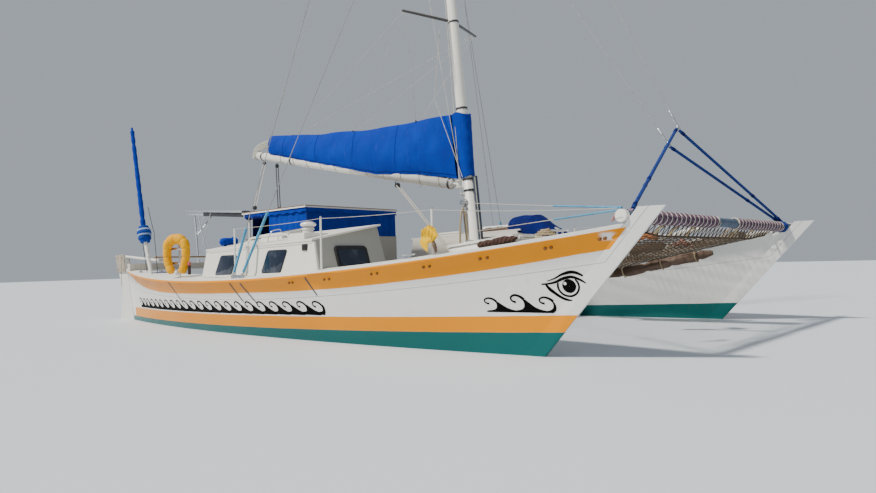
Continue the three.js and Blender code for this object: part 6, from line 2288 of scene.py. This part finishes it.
RAG = {"x": 5.62, "y": 0.32, "z": 1.115, "size": 0.17, "seed": 1.3}


def rag_place(u, v):
    """A dropped cloth: a square whose folds heap up towards its middle."""
    a, b = 2 * u - 1, 2 * v - 1
    seed, size = RAG["seed"], RAG["size"]
    fold = sin(4.1 * a + seed) * cos(3.7 * b - seed) + 0.5 * sin(8.3 * a * b + 2 * seed)
    heap = max(1 - hypot(a, b), 0) ** 0.7
    x = RAG["x"] + size * a * (0.72 - 0.03 * fold)
    y = RAG["y"] + size * b * (0.7 + 0.03 * fold)
    return (x, y, RAG["z"] + size * (0.3 * heap + 0.16 * fold * (0.4 + heap) + 0.18))


rag = sheet("red_cloth", 26, 26, rag_place, 0.0025)
dress(rag, RED_CLOTH, angle=80)
wide = 2.05 * RAG["size"]
rag_area = min(cloth_area(rag), wide * wide)
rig.sheet(rag, flat=(wide, wide), held="gathered", rests_on=["net_cords_across"], area=rag_area)
print("plank and bundles done")

# %% [markdown]
# ## Odds and ends
# A boat in use carries loose things: a cloth on a stanchion, a hood over a hatch, coils of
# rope, folded covers. Free ropes are declared as cords with their real length, so they
# are laid as coils whose turns lie a diameter apart.

# %% Yellow cloth and hood
def yellow_place(u, v):
    across = 2 * u - 1
    wide = 0.035 + 0.085 * sin(pi * min(v * 1.15, 1) * 0.8)
    x = 4.165 + across * wide + 0.02 * across * v
    droop = 0.05 * (1 - across) * (1 - v) + 0.05 * abs(across) ** 1.5
    fold = 0.016 * sin(9 * across + 4 * v) + 0.01 * sin(5 * across - 7 * v)
    return (x, -2.905 - abs(fold) * 1.2 - 0.01 * (1 - v), 1.415 - 0.15 * (1 - v) - droop)


yellow = sheet("yellow_cloth", 36, 26, yellow_place, 0.0025)
dress(yellow, YELLOW_CLOTH, angle=80)
hang(yellow, 0.25, ["stanchion_starboard_3"])
# A dark brown bundle below the cloth, painted shade: it stands for the post's shadow
post_shadow_line = [(4.19, -2.9, 1.27), (4.235, -2.91, 1.2), (4.245, -2.9, 1.11)]
bundle("brown_strap_bundle", post_shadow_line, 0.02, BROWN_CLOTH, 2, 0.2, 20, 12)


def hood_place(u, v):
    across = 2 * v - 1
    crown = 1.865 - 0.4 * max(u - 0.42, 0) / 0.58 - 0.03 * (1 - u)
    foot = 1.6 - 0.34 * u
    arch = sqrt(max(1 - abs(across) ** 2.6, 0))
    z = foot + (crown - foot) * arch + 0.008 * sin(14 * u + 3 * across)
    return (1.74 + 0.96 * u, 2.13 + 0.4 * across + 0.01 * sin(17 * u) * across, z)


hood = sheet("port_hood", 60, 40, hood_place, 0.003)
# The hood is blue canvas; the darker navy finish adds painted shade to its own colour
dress(hood, NAVY_CANVAS, angle=80)
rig.sheet(hood, flat=(1.1, cloth_area(hood) / 1.1), held="stretched", rests_on=["cabin_roof_port"])

dress(rod("white_tube", (0.66, 2.36, 1.66), (1.7, 2.3, 1.665), 0.045, sides=24, edge=0.006), WHITE_PLASTIC)
for name, marks, width, material, *shape in (
    ("brown_folded_cover", [(0.72, 2.25, 1.6), (1.15, 2.22, 1.615), (1.62, 2.22, 1.585)],
     0.06, BROWN_CLOTH, 5),
    ("blue_rolled_cover", [(-0.74, -2.4, 1.445), (-0.71, -2.58, 1.435), (-0.68, -2.74, 1.415)],
     0.06, BLUE_CANVAS, 3, 0.15, 30),
    ("grey_cloth", [(2.3, 2.02, 1.62), (2.45, 2.1, 1.56), (2.62, 2.12, 1.5)], 0.05, GREY_CLOTH, 3, 0.25, 28),
):
    bundle(name, marks, width, material, *shape)
print("cloths done")

# %% [markdown]
# A hanging coil is one rope: loops of nearly the same length round a cleat, each a
# diameter further along. Its length is summed from its own points and declared.

# %% Coils
def coil(name, points, radius, material, **laid):
    """A free rope along these points, declared with the length they give."""
    points = [Vector(point) for point in points]
    piece = dress(rope(name, points, radius), material)
    length = sum((b - a).length for a, b in zip(points, points[1:]))
    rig.cord(piece, exit=points[0], length=length, diameter=2 * radius, stiffness="limp", path=points, **laid)


def hanging_coil(name, hook, top, along, high, wide, turns, radius, material, per_turn=16):
    """A coil that leaves its hook and hangs from its top, with its turns side by side."""
    step = Vector(along).normalized()
    across = step.cross(UP).normalized()
    points = []
    for k in range(turns * per_turn + 1):
        turn = k / per_turn
        angle = 2 * pi * turn
        shrink = 1 - 0.05 * sin(turn * 1.7)
        round_top = copysign(abs(sin(angle)) ** 0.6, sin(angle))
        aside = across * wide * 0.5 * round_top * (1 - 0.3 * cos(angle))
        aside += step * (turn - turns / 2) * radius * 2.35
        points.append(top + aside - UP * high * 0.5 * shrink * (1 - cos(angle)))
    lead = [hook.lerp(points[0], k / 5) + UP * 0.02 * sin(pi * k / 5) for k in range(5)]
    coil(name, lead + points, radius, material, far_end="knot", lay="hanging")


def flat_coil(name, at, inner, turns, radius, material, per_turn=20, cone=0.0):
    """A flat coil on deck, from its eye outwards."""
    points = []
    for k in range(turns * per_turn + 1):
        turn = k / per_turn
        reach, angle = inner + turn * radius * 2.25, 2 * pi * turn
        points.append((at[0] + reach * cos(angle), at[1] + reach * sin(angle), at[2] + radius + cone * turn))
    coil(name, points, radius, material, far_end="bare", lay="coiled")


hook, top = mast_spot(1.9, -2.3, 0.1), mast_spot(1.86, -2.3, 0.14)
hanging_coil("mast_coil", hook, top, (-0.75, 0.66, 0), 0.8, 0.105, 6, 0.01, TAN_ROPE)
flat_coil("deck_coil", (1.55, -0.95, 0.913), 0.07, 6, 0.01, WHITE_ROPE)
flat_coil("aft_coil", (-3.55, -2.42, 0.94), 0.06, 5, 0.009, BLUE_ROPE)
flat_coil("port_roof_coil", (1.93, 2.62, 1.42), 0.05, 5, 0.01, TAN_ROPE)
flat_coil("foredeck_coil_low", (5.38, -2.449, 1.214), 0.035, 3, 0.012, TAN_ROPE)
flat_coil("foredeck_coil_high", (5.38, -2.449, 1.302), 0.03, 3, 0.012, TAN_ROPE, cone=-0.02)
DARK_RED_ROPE = cordage("dark_red_rope", (0.085, 0.042, 0.032), (0.025, 0.014, 0.01))
# x, y, height over the sheer
PILE = [(4.72, -2.748, 0.045), (4.98, -2.746, 0.048), (5.22, -2.735, 0.045)]
pile = [(x, y, sheer_at(x) + up) for x, y, up in PILE]
bundle("foredeck_rope_pile", pile, 0.036, DARK_RED_ROPE, 3, 0.25, 40)
print("coils done")

# %% [markdown]
# ## Finish
# The box of the dressed boat is written beside the frame's own, so that the two can be
# compared.

# %% Sizes and finish
with open("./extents.json", "w") as notes:
    json.dump({"cad": [list(corner) for corner in CAD_BOX], "visual": [list(corner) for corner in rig.bounds()]}, notes)
print("pieces made:", len(MADE))
